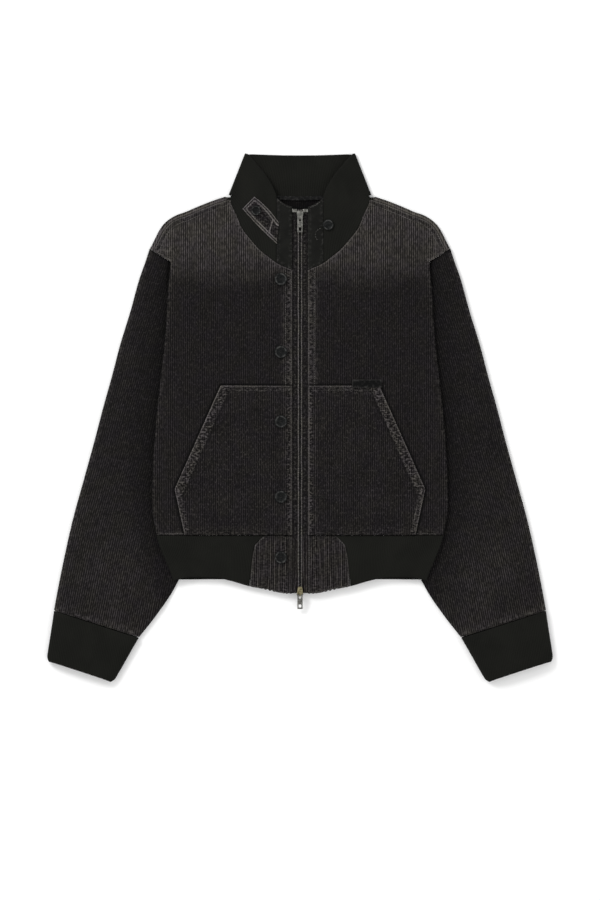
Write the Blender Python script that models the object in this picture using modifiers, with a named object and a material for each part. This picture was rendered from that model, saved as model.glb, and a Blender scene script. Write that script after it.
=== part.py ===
"""Cropped denim jacket with rib-knit collar, cuffs and hem band, laid flat on its back.

Sizes below are millimetres and become metres when a mesh is made. X runs across the jacket, with
"right" at +X, Y runs from the hem to the collar, and Z up from the surface that it lies on. Every
cloth piece is a grid of points on its outer face, thickened inwards. The sleeves lie flat on the
surface with their inner part under the body, so the back panel rises over them near its sides.
"""

import math

import bmesh
import bpy
import numpy as np

# ---------------------------------------------------------------- driving sizes (millimetres)

MM = 0.001
GAP = 0.3  # between neighbouring pieces
DENIM = 1.6  # wall of the denim
RIB = 2.4  # wall of the rib knit
TAPE = 0.8  # wall of the zip tape and the neck tape

HEM_Y = -165.0  # seam between body and hem band
FRONT_EDGE_X = 11.0  # each front stops here, beside the zip
NECK_BASE_Y = 204.5  # foot of the collar at the centre front
BACK_NECK_Y = 304.0  # back neckline on the centre line

OUTLINE_ROLL = 4.0  # radius of the rolled shoulder and collar folds
OUTLINE_TOP = 2 * OUTLINE_ROLL  # height of the outer face just inside those folds
SHOULDER_SEAM_IN = 5.7  # the shoulder seam lies this far inside the outline
CHEST_RISE = 4.5  # how far the chest stands above the outline's height
CENTRE_RISE = 2.5  # further rise of the fronts towards the zip
RISE_WIDTH = 49.0  # over this distance from the outline
HEM_EDGE_Z = 10.6  # height of the hem's lower edge in the middle
HEM_EDGE_RISE = 0.8  # and how much more at the sides
HEM_DIP = 1.6  # the body settles this much towards the hem seam
HALF_BODY = 200.0

UNDER_BODY = 4.6  # height of a sleeve where the body lies on it
BACK_LIFT = 5.5  # underside of the back above the sleeves
LIFT_RAMP = 30.0  # the back rises over this distance
ARMHOLE_RAMP = 20.0  # and comes down again over this distance beside the armhole
LIFT_START = 8.0  # and is fully up this far before the sleeve begins
BACK_ROLL = 2.4  # radius of the back's edge at the side seam
SIDE_SEAM_Z = BACK_LIFT + BACK_ROLL
RIM_STRIP = 0.6  # last strip of a rolled edge, straight, so that its rim is square

SLEEVE_OUTER_SEAM_Z = 4.0
SLEEVE_INNER_SEAM_Z = 2.5
CUFF_HEIGHT = 11.0  # of the flattened cuff at its free end, beside its folds
CUFF_SEAM_RISE = 0.6  # and how much more at the sleeve
CUFF_BULGE = 0.8  # further rise of its face in the middle
CUFF_ROUND_OFF = 3.0  # its free corners are drawn in this much

BUTTON_R = 9.0
COLLAR_BUTTON_R = 7.8
STRAP_BUTTON_R = 7.0
BUTTON_THICK = 3.0
BUTTON_X = -26.6

ZIP_TAPE_HALF = 15.0
TAPE_BEYOND_BOTTOM = 6.0  # the tape runs on past the zip at both ends
TAPE_BEYOND_TOP = 2.0
CHAIN_HALF = 2.8
CHAIN_THICK = 1.8
SLIDER_LENGTH = 12.0
SLIDER_HALF = 4.6
SLIDER_WAIST = 0.72  # its narrow end, as a part of its width
SLIDER_THICK = 4.2
PULL_LENGTH = 21.5
PULL_HALF = 3.7
PULL_THICK = 1.4


def table(names, rows):
    """Rows of numbers as a dictionary of named columns."""
    values = np.array(rows, dtype=float)
    return {name: values[:, index] for index, name in enumerate(names.split())}


# Edge of the body and hem band over the sleeves: height up the jacket and half width.
BODY_EDGE = table("y x", [
    (-300, 130), (-270, 155), (-246, 172), (-228, 177), (-165, 200), (-119, 206.5), (-60, 204.5),
    (3, 200), (57, 194), (112, 188), (175, 184), (217, 180.6), (300, 180.6),
])
# Hidden inner edge of a sleeve, under the body.
SLEEVE_HIDDEN = table("y x", [
    (-307.5, 224.7), (-270, 196.6), (-231, 173.6), (-200, 165), (-150, 150), (-100, 140),
    (-50, 134), (5, 136), (50, 137), (95, 139), (140, 145), (178, 156), (200, 168), (216.5, 181.5),
])
# Outline of the shoulder, from the neck outwards.
SHOULDER = table("x y", [
    (101.2, 309.2), (123.9, 301.6), (146.3, 292.6), (162, 285.9), (170.9, 283.0), (182.1, 276.9),
    (191.1, 269), (197.8, 259), (202.3, 250), (207.9, 238.8), (210, 235.5),
])
COLLAR_CORNER = (77.0, 368.4)
COLLAR_FOOT = (99.7, 310.6)  # the collar's side fold runs from here up to its corner
OUTLINE = {
    "x": np.concatenate([[COLLAR_CORNER[0], COLLAR_FOOT[0]], SHOULDER["x"][1:]]),
    "y": np.concatenate([[COLLAR_CORNER[1], COLLAR_FOOT[1]], SHOULDER["y"][1:]]),
}
ARMHOLE = table("x y", [(180.6, 217), (210, 235.5)])
# Front neckline, from the zip round to the shoulder.
NECKLINE = table("x y", [
    (11, 204.5), (31.6, 213.5), (43, 222), (56, 232.5), (66, 243.5), (80, 261), (92, 284),
    (97.2, 298), (99.0, 303.3),
])
BACK_NECK = table("x y", [(0, BACK_NECK_Y), (50, 305.6), (95, 308.6)])
NECK_X = (11.0, 21.5, 32.6, 44.0, 56.0, 68.0, 80.0, 90.0, 99.0)  # where its columns stand
COLLAR_FROM = 2  # the rib begins at this column, the placket piece fills the ones before
NECK_CLEAR = (-0.35, 0.45)
# Top edge of the collar's front, from the placket up to the collar's top corner.
COLLAR_TOP = table("x y", [
    (32.8, 308), (36, 317), (42, 328.3), (50, 340.5), (58.8, 351.2), (66, 359.9), (71.5, 365.6),
])
# Sections across a sleeve: its outer and inner points, crown height and rounding of each edge.
SLEEVE = table("outer_x outer_y inner_x inner_y height outer_round inner_round", [
    (210, 235.5, 181.5, 216.5, 8.0, 4.0, 2.4),
    (216, 217, 168, 200, 9.0, 7.0, 2.4),
    (224, 194.6, 156, 178, 10.5, 12.0, 2.4),
    (237, 148, 145, 140, 12.0, 20.0, 2.4),
    (251.6, 100.5, 139, 95, 13.5, 26.0, 2.4),
    (263, 57, 137, 50, 14.0, 30.0, 2.4),
    (275, 14, 136, 2, 14.0, 32.0, 2.4),
    (287, -32, 133.5, -62, 14.0, 34.0, 2.4),
    (302.4, -88, 139, -128, 13.8, 34.0, 2.4),
    (317.8, -144, 152, -186, 13.4, 34.0, 3.0),
    (330.4, -200, 176, -240, 13.0, 32.0, 12.0),
    (338.8, -242, 203, -280, 12.4, 26.0, 22.0),
    (344, -270, 224.7, -307.5, 11.6, 18.0, 18.0),
])
# Cuff: where it starts on the sleeve and where it ends.
CUFF = table("outer_x outer_y inner_x inner_y", [
    (343.4, -270.2, 225.4, -307.9),
    (352.3, -340.0, 262.3, -369.4),
])
# Bottom edge of the hem band and of the gathered centre pieces.
HEM_BOTTOM = table("x y", [
    (0, -246), (18, -246.5), (30, -245), (44, -241.5), (70, -236.5), (98, -228.5), (121, -224),
    (150, -223.5), (168, -226), (177, -229),
])
# Seam between the hem band and a gathered centre piece: how far down the hem, distance from the zip.
HEM_TAB = table("at x", [(0, 49.5), (0.1, 57.5), (0.2, 63.0), (0.45, 66.5), (0.72, 68.6), (1, 70)])
# Patch pocket, half of it: corners from the zip side round the slanted opening.
POCKET = table("x y", [(12.5, 43.0), (110.5, 43.5), (174.5, -100.6), (161, -164.2), (12.5, -164.2)])
# Places of the front buttons, down the jacket.
FRONT_BUTTONS_Y = (191.8, 90.4, -6.7, -111.3, -196.0)
COLLAR_BUTTON = (39.2, 267.4)
STRAP_BUTTON = (-61.2, 287.0)
# Corners of the neck strap on the left of the collar.
STRAP = table("x y", [(-80.2, 290.2), (-63.6, 306.9), (-29.4, 270.5), (-32.4, 241.0)])
LABEL = table("x y", [(72.8, 51.8), (113.4, 51.8), (113.4, 40.6), (72.8, 40.6)])

ZIP_TOP_Y = 287.0
ZIP_BOTTOM_Y = -237.0


# ---------------------------------------------------------------- curves and grids

def smoothstep(t):
    """Ease from 0 to 1, level at both ends."""
    t = np.clip(t, 0.0, 1.0)
    return t * t * (3.0 - 2.0 * t)


def read(x, xs, ys):
    """Monotone cubic through a table's rows, so that it bends only where the rows do."""
    step = np.diff(xs)
    slope = np.diff(ys) / step
    tangent = np.zeros(len(xs))
    tangent[0] = slope[0]
    tangent[-1] = slope[-1]
    same_way = slope[:-1] * slope[1:] > 0
    product = 2.0 * slope[:-1] * slope[1:]
    total = np.where(same_way, slope[:-1] + slope[1:], 1.0)
    tangent[1:-1] = np.where(same_way, product / total, 0.0)
    x = np.clip(x, xs[0], xs[-1])
    index = np.clip(np.searchsorted(xs, x, side="right") - 1, 0, len(xs) - 2)
    width = step[index]
    t = (x - xs[index]) / width
    start = ys[index] * (1 + 2 * t) * (1 - t) ** 2 + tangent[index] * width * t * (1 - t) ** 2
    end = ys[index + 1] * t * t * (3 - 2 * t) + tangent[index + 1] * width * t * t * (t - 1)
    return start + end


def lengths(points):
    """Distance along a path at each of its points."""
    step = np.linalg.norm(np.diff(points, axis=0), axis=1)
    return np.concatenate([[0.0], np.cumsum(step)])


def path(rows, at):
    """Points of a smooth path through a table's x and y, at fractions of its length."""
    points = np.column_stack([rows["x"], rows["y"]])
    along = lengths(points)
    target = np.asarray(at, dtype=float) * along[-1]
    return np.column_stack([read(target, along, points[:, axis]) for axis in range(2)])


def neck_points(xs, shift=(0.0, 0.0)):
    """Points of the front neckline at given x, moved clear of it."""
    xs = np.asarray(xs, dtype=float)
    return np.column_stack([xs, read(xs, NECKLINE["x"], NECKLINE["y"])]) + np.array(shift)


def distance(x, y, rows):
    """Distance in plan from each point to a table's path of straight pieces."""
    best = np.full(np.shape(x), np.inf)
    for index in range(len(rows["x"]) - 1):
        ax, ay = rows["x"][index], rows["y"][index]
        bx, by = rows["x"][index + 1] - ax, rows["y"][index + 1] - ay
        along = np.clip(((x - ax) * bx + (y - ay) * by) / (bx * bx + by * by), 0.0, 1.0)
        best = np.minimum(best, np.hypot(x - ax - along * bx, y - ay - along * by))
    return best


def coons(bottom, top, left, right):
    """Plan points blended from four edges; rows run from bottom to top."""
    u = (np.arange(len(bottom)) / (len(bottom) - 1))[None, :, None]
    v = (np.arange(len(left)) / (len(left) - 1))[:, None, None]
    u = np.broadcast_to(u, (len(left), len(bottom), 1))
    v = np.broadcast_to(v, (len(left), len(bottom), 1))
    ruled = (1 - v) * bottom[None] + v * top[None] + (1 - u) * left[:, None] + u * right[:, None]
    corners = ((1 - u) * (1 - v) * bottom[0] + u * (1 - v) * bottom[-1]
               + (1 - u) * v * top[0] + u * v * top[-1])
    return ruled - corners


def spaced(first, last, count):
    """Evenly spaced numbers from first to last."""
    return np.linspace(first, last, count)


def flipped(grid):
    """The same grid on the other side of the jacket, still facing outwards."""
    return grid[:, ::-1] * np.array([-1.0, 1.0, 1.0])


# ---------------------------------------------------------------- heights of the layers

def body_edge(y):
    """Half width of the body where it lies over a sleeve."""
    return read(y, BODY_EDGE["y"], BODY_EDGE["x"])


def back_lift(x, y):
    """Height of the back's underside: flat in the middle, raised over the sleeves."""
    corner_y = SLEEVE_HIDDEN["y"][-1]
    hidden = read(np.minimum(y, corner_y), SLEEVE_HIDDEN["y"], SLEEVE_HIDDEN["x"])
    short = np.maximum(hidden - LIFT_START - np.abs(x), 0.0) / LIFT_RAMP
    beyond = np.maximum(y - corner_y, 0.0) / ARMHOLE_RAMP
    return BACK_LIFT * (1.0 - smoothstep(np.hypot(short, beyond)))


def front_top(x, y):
    """Height of the outer face of the fronts and of the collar's front."""
    x = np.abs(x)
    inside = distance(x, y, OUTLINE)
    rise = smoothstep((inside - SHOULDER_SEAM_IN) / RISE_WIDTH)
    chest = CHEST_RISE + CENTRE_RISE * (1.0 - (x / HALF_BODY) ** 2)
    height = OUTLINE_TOP + chest * rise - HEM_DIP * smoothstep((-138.0 - y) / 24.0)
    cap = smoothstep((x - 178.0) / 7.0) * smoothstep((y - 214.0) / 3.0)
    low = np.maximum(OUTLINE_TOP, back_lift(x, y) + 2 * DENIM + 0.8)
    return height - np.maximum(height - low, 0.0) * cap


def hem_top(x, y):
    """Height of the outer face of the hem band and its gathered centre pieces."""
    down = np.clip((HEM_Y - y) / 80.0, 0.0, 1.0)
    side = smoothstep((np.abs(x) - 60.0) / 110.0)
    bottom = HEM_EDGE_Z + HEM_EDGE_RISE * side
    return front_top(x, np.full_like(y, HEM_Y)) * (1 - down) + bottom * down


# ---------------------------------------------------------------- objects

def principled(name, color, roughness, metallic=0.0):
    """A plain finish: base colour, roughness and metal."""
    material = bpy.data.materials.new(name)
    material.use_nodes = True
    shader = material.node_tree.nodes["Principled BSDF"]
    shader.inputs["Base Color"].default_value = (*color, 1.0)
    shader.inputs["Roughness"].default_value = roughness
    shader.inputs["Metallic"].default_value = metallic
    material.diffuse_color = (*color, 1.0)
    return material


def new_object(name, mesh, material, collection):
    """Put a mesh into the scene as one named piece."""
    piece = bpy.data.objects.new(name, mesh)
    mesh.materials.append(material)
    collection.objects.link(piece)
    return piece


def shade(mesh):
    """Smooth shading with its sharp edges kept."""
    mesh.shade_smooth()
    mesh.set_sharp_from_angle(angle=math.radians(35.0))


def grid_mesh(name, grid, closed=False):
    """Quads over a grid of points in millimetres; closed joins its last column to its first."""
    rows, columns = grid.shape[:2]
    index = np.arange(rows * columns).reshape(rows, columns)
    if closed:
        index = np.hstack([index, index[:, :1]])
    quads = np.stack([index[:-1, :-1], index[:-1, 1:], index[1:, 1:], index[1:, :-1]], axis=-1)
    mesh = bpy.data.meshes.new(name)
    mesh.from_pydata((grid.reshape(-1, 3) * MM).tolist(), [], quads.reshape(-1, 4).tolist())
    return mesh


def cloth(name, grid, wall, material, collection, closed=False):
    """A piece of cloth: the grid is its outer face and the wall grows inwards from it."""
    mesh = grid_mesh(name, grid, closed)
    shade(mesh)
    piece = new_object(name, mesh, material, collection)
    solid = piece.modifiers.new("Wall", "SOLIDIFY")
    solid.thickness = wall * MM
    solid.offset = -1.0
    return piece


# ---------------------------------------------------------------- body panels

SIDE_ROWS_Y = (-165, -152, -130, -90, -45, 0, 45, 90, 130, 163, 187, 203, 213.5)
ARMHOLE_ROWS = (0.0, 0.3, 0.65)
ARMHOLE_STRIP = 3.2  # width of the last columns beside the armhole
LAST_SHOULDER = 0.975  # fraction of the shoulder where those columns start
BACK_NECK_X = (0.0, 22.0, 44.0, 66.0, 84.0, 95.0)
SHOULDER_COLUMNS = 6
SEAM_SPREAD = 0.5  # the side seam opens this much on each side of the armhole's corner
BACK_NECK_STRIP = 5.2


def shoulder(at, inset, z):
    """Points beside the shoulder outline at fractions of its length, set in from it."""
    at = np.asarray(at, dtype=float)
    ahead = path(SHOULDER, np.minimum(at + 0.01, 1.0))
    behind = path(SHOULDER, np.maximum(at - 0.01, 0.0))
    run = ahead - behind
    run /= np.linalg.norm(run, axis=1)[:, None]
    inward = np.column_stack([run[:, 1], -run[:, 0]])
    plan = path(SHOULDER, at) + inward * inset
    return np.column_stack([plan, np.full(len(at), float(z))])


def armhole_line(inset):
    """The armhole's two ends: at the body's side, and set in from the shoulder outline."""
    start = np.array([ARMHOLE["x"][0], ARMHOLE["y"][0]])
    end = np.array([ARMHOLE["x"][1], ARMHOLE["y"][1]])
    run = (end - start) / np.linalg.norm(end - start)
    return start, end - run * inset, np.array([-run[1], run[0]])


def rolled(start_x, start_z, end_x, end_z, angles):
    """Points of a quarter turn from level to upright, with a short straight last strip."""
    turn = math.copysign(RIM_STRIP, start_z - end_z)
    before = end_z + turn
    points = [(start_x + (end_x - start_x) * math.sin(math.radians(angle)),
               start_z + (before - start_z) * (1 - math.cos(math.radians(angle))))
              for angle in angles]
    return points + [(end_x, before), (end_x, end_z)]


def side_block(height, seam_z, radius, inset, angles):
    """Last columns of a panel: rolled down to the side seam, then flat beside the armhole."""
    rows = []
    for y in SIDE_ROWS_Y:
        edge = float(body_edge(y))
        z = float(height(np.array([edge]), np.array([y]))[0])
        reach = radius if radius else abs(z - seam_z)
        spread = math.copysign(SEAM_SPREAD, z - seam_z) * float(smoothstep((y - 180.0) / 25.0))
        roll = rolled(edge - reach, z, edge, seam_z + spread, angles)
        rows.append([(edge - reach, y, z)] + [(x, y, rz) for x, rz in roll])
    start, end, inward = armhole_line(inset)
    steps = len(angles) + 2
    for at in ARMHOLE_ROWS:
        edge = start + (end - start) * at
        columns = []
        for column in range(steps + 1):
            plan = edge + inward * ARMHOLE_STRIP * (1 - column / steps) ** 1.3
            z = float(height(plan[:1], plan[1:])[0])
            columns.append((plan[0], plan[1], z))
        rows.append(columns)
    fractions = spaced(LAST_SHOULDER, 1.0, steps + 1)
    rows.append(shoulder(fractions, inset, float(height(end[:1], end[1:])[0])).tolist())
    return np.array(rows)


def row_fractions(side):
    """How far up the panel each row is, from the places of its side points."""
    along = lengths(side[:, 0, :2])
    return along / along[-1]


def main_block(side, foot_x, foot, neck, seam):
    """The panel from its inner edge to the side block, with heights still to be given."""
    up = row_fractions(side)
    left = np.column_stack([np.full(len(up), foot_x), foot[0] + (foot[1] - foot[0]) * up])
    top = np.vstack([neck, seam])
    bottom = np.column_stack([spaced(foot_x, side[0, 0, 0], len(top)), np.full(len(top), foot[0])])
    return coons(bottom, top, left, side[:, 0, :2])


def front_grid():
    """Right front, from the zip to the side seam and from the hem up to neck and shoulder."""
    inset = SHOULDER_SEAM_IN + GAP
    side = side_block(front_top, SIDE_SEAM_Z + GAP, 0.0, inset, (35, 65))
    neck = neck_points(NECK_X)
    at = spaced(0, LAST_SHOULDER, SHOULDER_COLUMNS + 1)[1:]
    seam = shoulder(at, inset, 0)[:, :2]
    plan = main_block(side, FRONT_EDGE_X, (HEM_Y, NECK_BASE_Y), neck, seam)
    z = front_top(plan[..., 0], plan[..., 1])
    main = np.dstack([plan, z])
    return np.concatenate([main[:, :-1], side], axis=1)


def back_grid():
    """Whole back: its underside is the outer face and rolls up to shoulder and side seams."""
    side = side_block(back_lift, SIDE_SEAM_Z, BACK_ROLL, OUTLINE_ROLL, (45,))
    neck_x = np.array(BACK_NECK_X)
    neck_y = read(neck_x, BACK_NECK["x"], BACK_NECK["y"])
    neck = np.column_stack([neck_x, neck_y - BACK_NECK_STRIP])
    at = spaced(0, LAST_SHOULDER, SHOULDER_COLUMNS + 1)
    seam = shoulder(at, OUTLINE_ROLL, 0)[:, :2]
    plan = main_block(side, 0.0, (HEM_Y, BACK_NECK_Y - BACK_NECK_STRIP), neck, seam)
    z = back_lift(plan[..., 0], plan[..., 1])
    half = np.concatenate([np.dstack([plan, z])[:, :-1], side], axis=1)
    roll_at = np.concatenate([at, spaced(LAST_SHOULDER, 1.0, side.shape[1])[1:]])
    curls = [(OUTLINE_ROLL * (1 - math.sin(math.radians(turn))),
              OUTLINE_ROLL * (1 - math.cos(math.radians(turn)))) for turn in (45, 90, 135, 180)]
    curls.append((SHOULDER_SEAM_IN, OUTLINE_TOP))
    rows = []
    for index, (inset, z) in enumerate(curls, start=1):
        flat = np.column_stack([neck, np.zeros(len(neck))])
        flat[:, 1] += BACK_NECK_STRIP * index / len(curls)
        rows.append(np.vstack([flat, shoulder(roll_at, inset, z)]))
    half = np.concatenate([half, np.array(rows)], axis=0)
    return np.concatenate([half[:, ::-1], flipped(half)[:, ::-1][:, 1:]], axis=1)


# ---------------------------------------------------------------- sleeves and cuffs

SLEEVE_ROWS = (0.0, 0.008, 0.03, 0.06, 0.1, 0.16, 0.25, 0.36, 0.47, 0.58, 0.68, 0.77, 0.83, 0.89, 0.95,
               0.995, 1.0)
COVER_CLEAR = 2.0  # a sleeve begins to rise this far outside the body's edge
HEM_CORNER_CLEAR = 3.0  # and this much further out beside the hem band


def sleeve_sections():
    """Rows across the sleeve, read smoothly along its outer edge."""
    along = lengths(np.column_stack([SLEEVE["outer_x"], SLEEVE["outer_y"]]))
    at = np.array(SLEEVE_ROWS) * along[-1]
    return {name: read(at, along, values) for name, values in SLEEVE.items()}


def seam_shift():
    """The sleeve stops a gap short of the armhole seam, measured across that seam."""
    return -armhole_line(0.0)[2] * 2 * GAP


def sleeve_height(x, y, crown):
    """Outer face of a sleeve: its crown, pressed down to a fixed height under the body."""
    slope = 0.35 + 0.85 * smoothstep((y - 165.0) / 45.0)
    clear = COVER_CLEAR + HEM_CORNER_CLEAR * smoothstep((HEM_Y - y) / 40.0)
    free = UNDER_BODY + slope * np.maximum(x - body_edge(y) - clear, 0.0)
    return np.minimum(crown, free)


def across(section, index, offset):
    """Plan point of a section, at a distance from its outer edge."""
    outer = np.array([section["outer_x"][index], section["outer_y"][index]])
    inner = np.array([section["inner_x"][index], section["inner_y"][index]])
    shift = seam_shift() * max(0.0, 1.0 - index / 4.0)
    span = inner - outer
    return outer + shift + span / np.linalg.norm(span) * offset, float(np.linalg.norm(span))


def crossing(section, index, width):
    """Distance from the outer edge at which a section passes under the body's edge."""
    steps = spaced(0.0, width, 60)
    plan = np.array([across(section, index, step)[0] for step in steps])
    beyond = plan[:, 0] - body_edge(plan[:, 1]) - COVER_CLEAR
    return float(np.interp(0.0, beyond[::-1], steps[::-1]))


def sleeve_top_grid():
    """Upper half of the right sleeve, from its outer seam over the crown to its inner seam."""
    section = sleeve_sections()
    rows = []
    for index in range(len(SLEEVE_ROWS)):
        width = across(section, index, 0.0)[1]
        outer_round, inner_round = section["outer_round"][index], section["inner_round"][index]
        edge = np.clip(crossing(section, index, width), outer_round + 6.0, width - inner_round - 4.0)
        quarter = [outer_round * (1 - math.cos(math.radians(a))) for a in (30, 60, 90)]
        middle = [outer_round + (edge - outer_round) * part for part in (0.33, 0.67, 1.0)]
        hidden = [edge + (width - inner_round - edge) * part for part in (0.35, 0.7, 1.0)]
        offsets = [0.0] + quarter + middle + hidden
        crown = section["height"][index]
        foot = SLEEVE_OUTER_SEAM_Z + GAP / 2
        points = [(*across(section, index, 0.0)[0], foot)]
        for offset in offsets:
            plan = across(section, index, offset)[0]
            part = min(offset / outer_round, 1.0)
            base = foot + RIM_STRIP
            z = base + (crown - base) * math.sqrt(1 - (1 - part) ** 2)
            points.append((*plan, float(sleeve_height(plan[:1], plan[1:], z)[0])))
        top = points[-1][2]
        end = SLEEVE_INNER_SEAM_Z + GAP
        for x, z in rolled(width - inner_round, top, width, end, (35, 65)):
            points.append((*across(section, index, x)[0], z))
        rows.append(points)
    return np.array(rows)[::-1, ::-1]


def sleeve_under_grid():
    """Lower half of the right sleeve, flat on the surface with both edges turned up."""
    section = sleeve_sections()
    rows = []
    for index in range(len(SLEEVE_ROWS)):
        width = across(section, index, 0.0)[1]
        inner_z = SLEEVE_INNER_SEAM_Z - GAP
        outer_z = SLEEVE_OUTER_SEAM_Z - GAP / 2
        inner = rolled(width - inner_z, 0.0, width, inner_z, (45,))
        outer = [(width - x, z) for x, z in rolled(width - outer_z, 0.0, width, outer_z, (45,))]
        profile = outer[::-1] + [(outer_z, 0.0), (width / 2, 0.0), (width - inner_z, 0.0)] + inner
        rows.append([(*across(section, index, x)[0], z) for x, z in profile])
    return np.array(rows)[::-1]


CUFF_ROWS = (0.0, 0.04, 0.28, 0.52, 0.76, 0.94, 1.0)
CUFF_FLAT = 0.45  # its level middle, as a part of its half width


def cuff_grid():
    """Flattened rib tube of the right cuff, closed round, its last rows drawn in a little."""
    start_outer = np.array([CUFF["outer_x"][0], CUFF["outer_y"][0]])
    start_inner = np.array([CUFF["inner_x"][0], CUFF["inner_y"][0]])
    end_outer = np.array([CUFF["outer_x"][1], CUFF["outer_y"][1]])
    end_inner = np.array([CUFF["inner_x"][1], CUFF["inner_y"][1]])
    seam = end_outer - start_outer
    shift = seam / np.linalg.norm(seam) * 2 * GAP
    rows = []
    for at in CUFF_ROWS:
        outer = start_outer + shift + (end_outer - start_outer - shift) * at
        inner = start_inner + shift + (end_inner - start_inner - shift) * at
        middle = (outer + inner) / 2
        run = (inner - outer) / 2
        half = float(np.linalg.norm(run))
        run /= half
        half -= CUFF_ROUND_OFF * max(0.0, (at - 0.9) / 0.1) ** 2
        height = CUFF_HEIGHT + CUFF_SEAM_RISE * (1 - at)
        radius = height / 2
        profile = []
        for angle in (90, 55, 20, -20, -55, -90):
            turn = math.radians(angle)
            profile.append((-half + radius - radius * math.cos(turn), radius + radius * math.sin(turn)))
        level = half * CUFF_FLAT
        crown = height + CUFF_BULGE
        shoulder_z = height + 0.6 * CUFF_BULGE
        flat = [(-level, 0.0), (0.0, 0.0), (level, 0.0)]
        far = [(-x, z) for x, z in profile[::-1]]
        bulge = [(level, shoulder_z), (0.0, crown), (-level, shoulder_z)]
        ring = profile + flat + far + bulge
        rows.append([(*(middle + run * x), z) for x, z in ring])
    return np.array(rows)[::-1]


# ---------------------------------------------------------------- collar and hem band

COLLAR_ROWS = (0.0, 0.12, 0.4, 0.7, 0.92, 1.0)
FOLD_ANGLES = (180, 135, 90, 45, 0)
COLLAR_BACK_TOP_Y = 365.9


def band(columns, rows):
    """Points between the two ends of each column: plan by straight lines."""
    at = np.array(rows)[:, None, None]
    low = np.array([column[0] for column in columns])[None]
    high = np.array([column[1] for column in columns])[None]
    return low + (high - low) * at


def collar_grid():
    """C-shaped rib collar: right front, side fold, back, side fold, left front."""
    foot = neck_points(NECK_X[COLLAR_FROM:], NECK_CLEAR)
    foot[0, 0] = COLLAR_TOP["x"][0]
    top = path(COLLAR_TOP, spaced(0.0, 1.0, 7))
    front = band(list(zip(foot, top)), COLLAR_ROWS)
    front = np.dstack([front, front_top(front[..., 0], front[..., 1])])
    low = np.array(COLLAR_FOOT)
    high = np.array(COLLAR_CORNER)
    fold = []
    for angle in FOLD_ANGLES:
        turn = math.radians(angle)
        reach = OUTLINE_ROLL * (1 - math.sin(turn))
        column = band([(low - (reach, 0), high - (reach, reach * 0.3))], COLLAR_ROWS)
        z = np.full(column.shape[:2], OUTLINE_ROLL * (1 - math.cos(turn)))
        fold.append(np.dstack([column, z]))
    back_foot = np.array([(86, 309.2), (60, 307.0), (30, 305.0), (0, BACK_NECK_Y + 2 * GAP)])
    back_top = np.array([(66, 367.5), (44, 366.6), (22, 366.0), (0, COLLAR_BACK_TOP_Y)])
    back = band(list(zip(back_foot, back_top)), COLLAR_ROWS)
    back = np.dstack([back, np.zeros(back.shape[:2])])
    half = np.concatenate([front] + fold + [back], axis=1)
    return np.concatenate([half, flipped(half)[:, 1:]], axis=1)


def collar_front_grid():
    """Smooth denim piece beside the zip that closes the right end of the collar."""
    columns = spaced(0.0, 1.0, 5)
    reach = COLLAR_TOP["x"][0] - GAP
    x = FRONT_EDGE_X + (reach - FRONT_EDGE_X) * columns
    foot = neck_points(x, (0.0, 2 * GAP))
    top = np.column_stack([x, 293.0 + 12.5 * columns ** 1.6])
    plan = band(list(zip(foot, top)), spaced(0.0, 1.0, 7))
    return np.dstack([plan, front_top(plan[..., 0], plan[..., 1])])


HEM_FOLD_RISE = 0.5  # the side folds rise this much towards the hem's edge
HEM_ROWS = (0.0, 0.04, 0.1, 0.2, 0.45, 0.72, 0.94, 1.0)


def hem_bottom(x):
    """The hem's lower edge at a distance from the zip."""
    return read(np.abs(x), HEM_BOTTOM["x"], HEM_BOTTOM["y"])


def tab_edge(at):
    """Seam between the hem band and the gathered piece, down from the body."""
    return read(at, HEM_TAB["at"], HEM_TAB["x"])


def hem_rib_grid():
    """C-shaped rib band: right front, side fold, back, side fold, left front."""
    rows = np.array(HEM_ROWS)
    parts = spaced(0.0, 1.0, 8)
    grid = []
    for at in rows:
        edge = float(body_edge(HEM_Y + (-228.0 - HEM_Y) * max(at - 0.03, 0.0) / 0.97))
        start = float(tab_edge(at)) + GAP
        corner_y = -226.0 - 3.0 * at
        low = BACK_LIFT + HEM_FOLD_RISE * at
        radius = (hem_top(np.array([edge]), np.array([HEM_Y - 63.0 * at]))[0] - low) / 2
        points = []
        for part in parts:
            x = start + (edge - radius - start) * part
            y = HEM_Y - 2 * GAP + (float(hem_bottom(x)) - HEM_Y + 2 * GAP) * at
            points.append((x, y, float(hem_top(np.array([x]), np.array([y]))[0])))
        for angle in FOLD_ANGLES[1:]:
            turn = math.radians(angle)
            x = edge - radius + radius * math.sin(turn)
            y = HEM_Y - 2 * GAP + (corner_y + 1.0 - HEM_Y) * at
            z = low + radius * (1 - math.cos(turn))
            points.append((x, y, z))
        last_x = edge - radius
        back_x = [last_x * part for part in (0.96, 0.9, 0.83, 0.76, 0.68, 0.5, 0.25, 0.0)]
        for x in back_x:
            y = HEM_Y - 2 * GAP + (corner_y + 2.0 - HEM_Y) * at
            z = float(back_lift(np.array([x]), np.array([max(y, -200.0)]))[0])
            points.append((x, y, z))
        grid.append(points)
    half = np.array(grid)[::-1]
    return np.concatenate([half, flipped(half)[:, 1:]], axis=1)


GATHERS = table("x width lift", [
    (15.0, 3.0, 0.9), (23.5, 3.6, 1.2), (33.0, 4.0, 0.9), (42.5, 4.2, 1.1), (52.5, 4.6, 0.8),
    (62.0, 4.4, 0.9),
])


def gathers(x, down):
    """Rounded upright folds of the gathered piece, opening out towards its lower edge."""
    spread = 1.0 + 0.1 * down
    height = np.zeros_like(x)
    for centre, width, lift in zip(GATHERS["x"], GATHERS["width"], GATHERS["lift"]):
        height += lift * np.exp(-(((x - centre * spread) / (0.55 * width)) ** 2))
    return height * smoothstep(down / 0.25)


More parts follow.
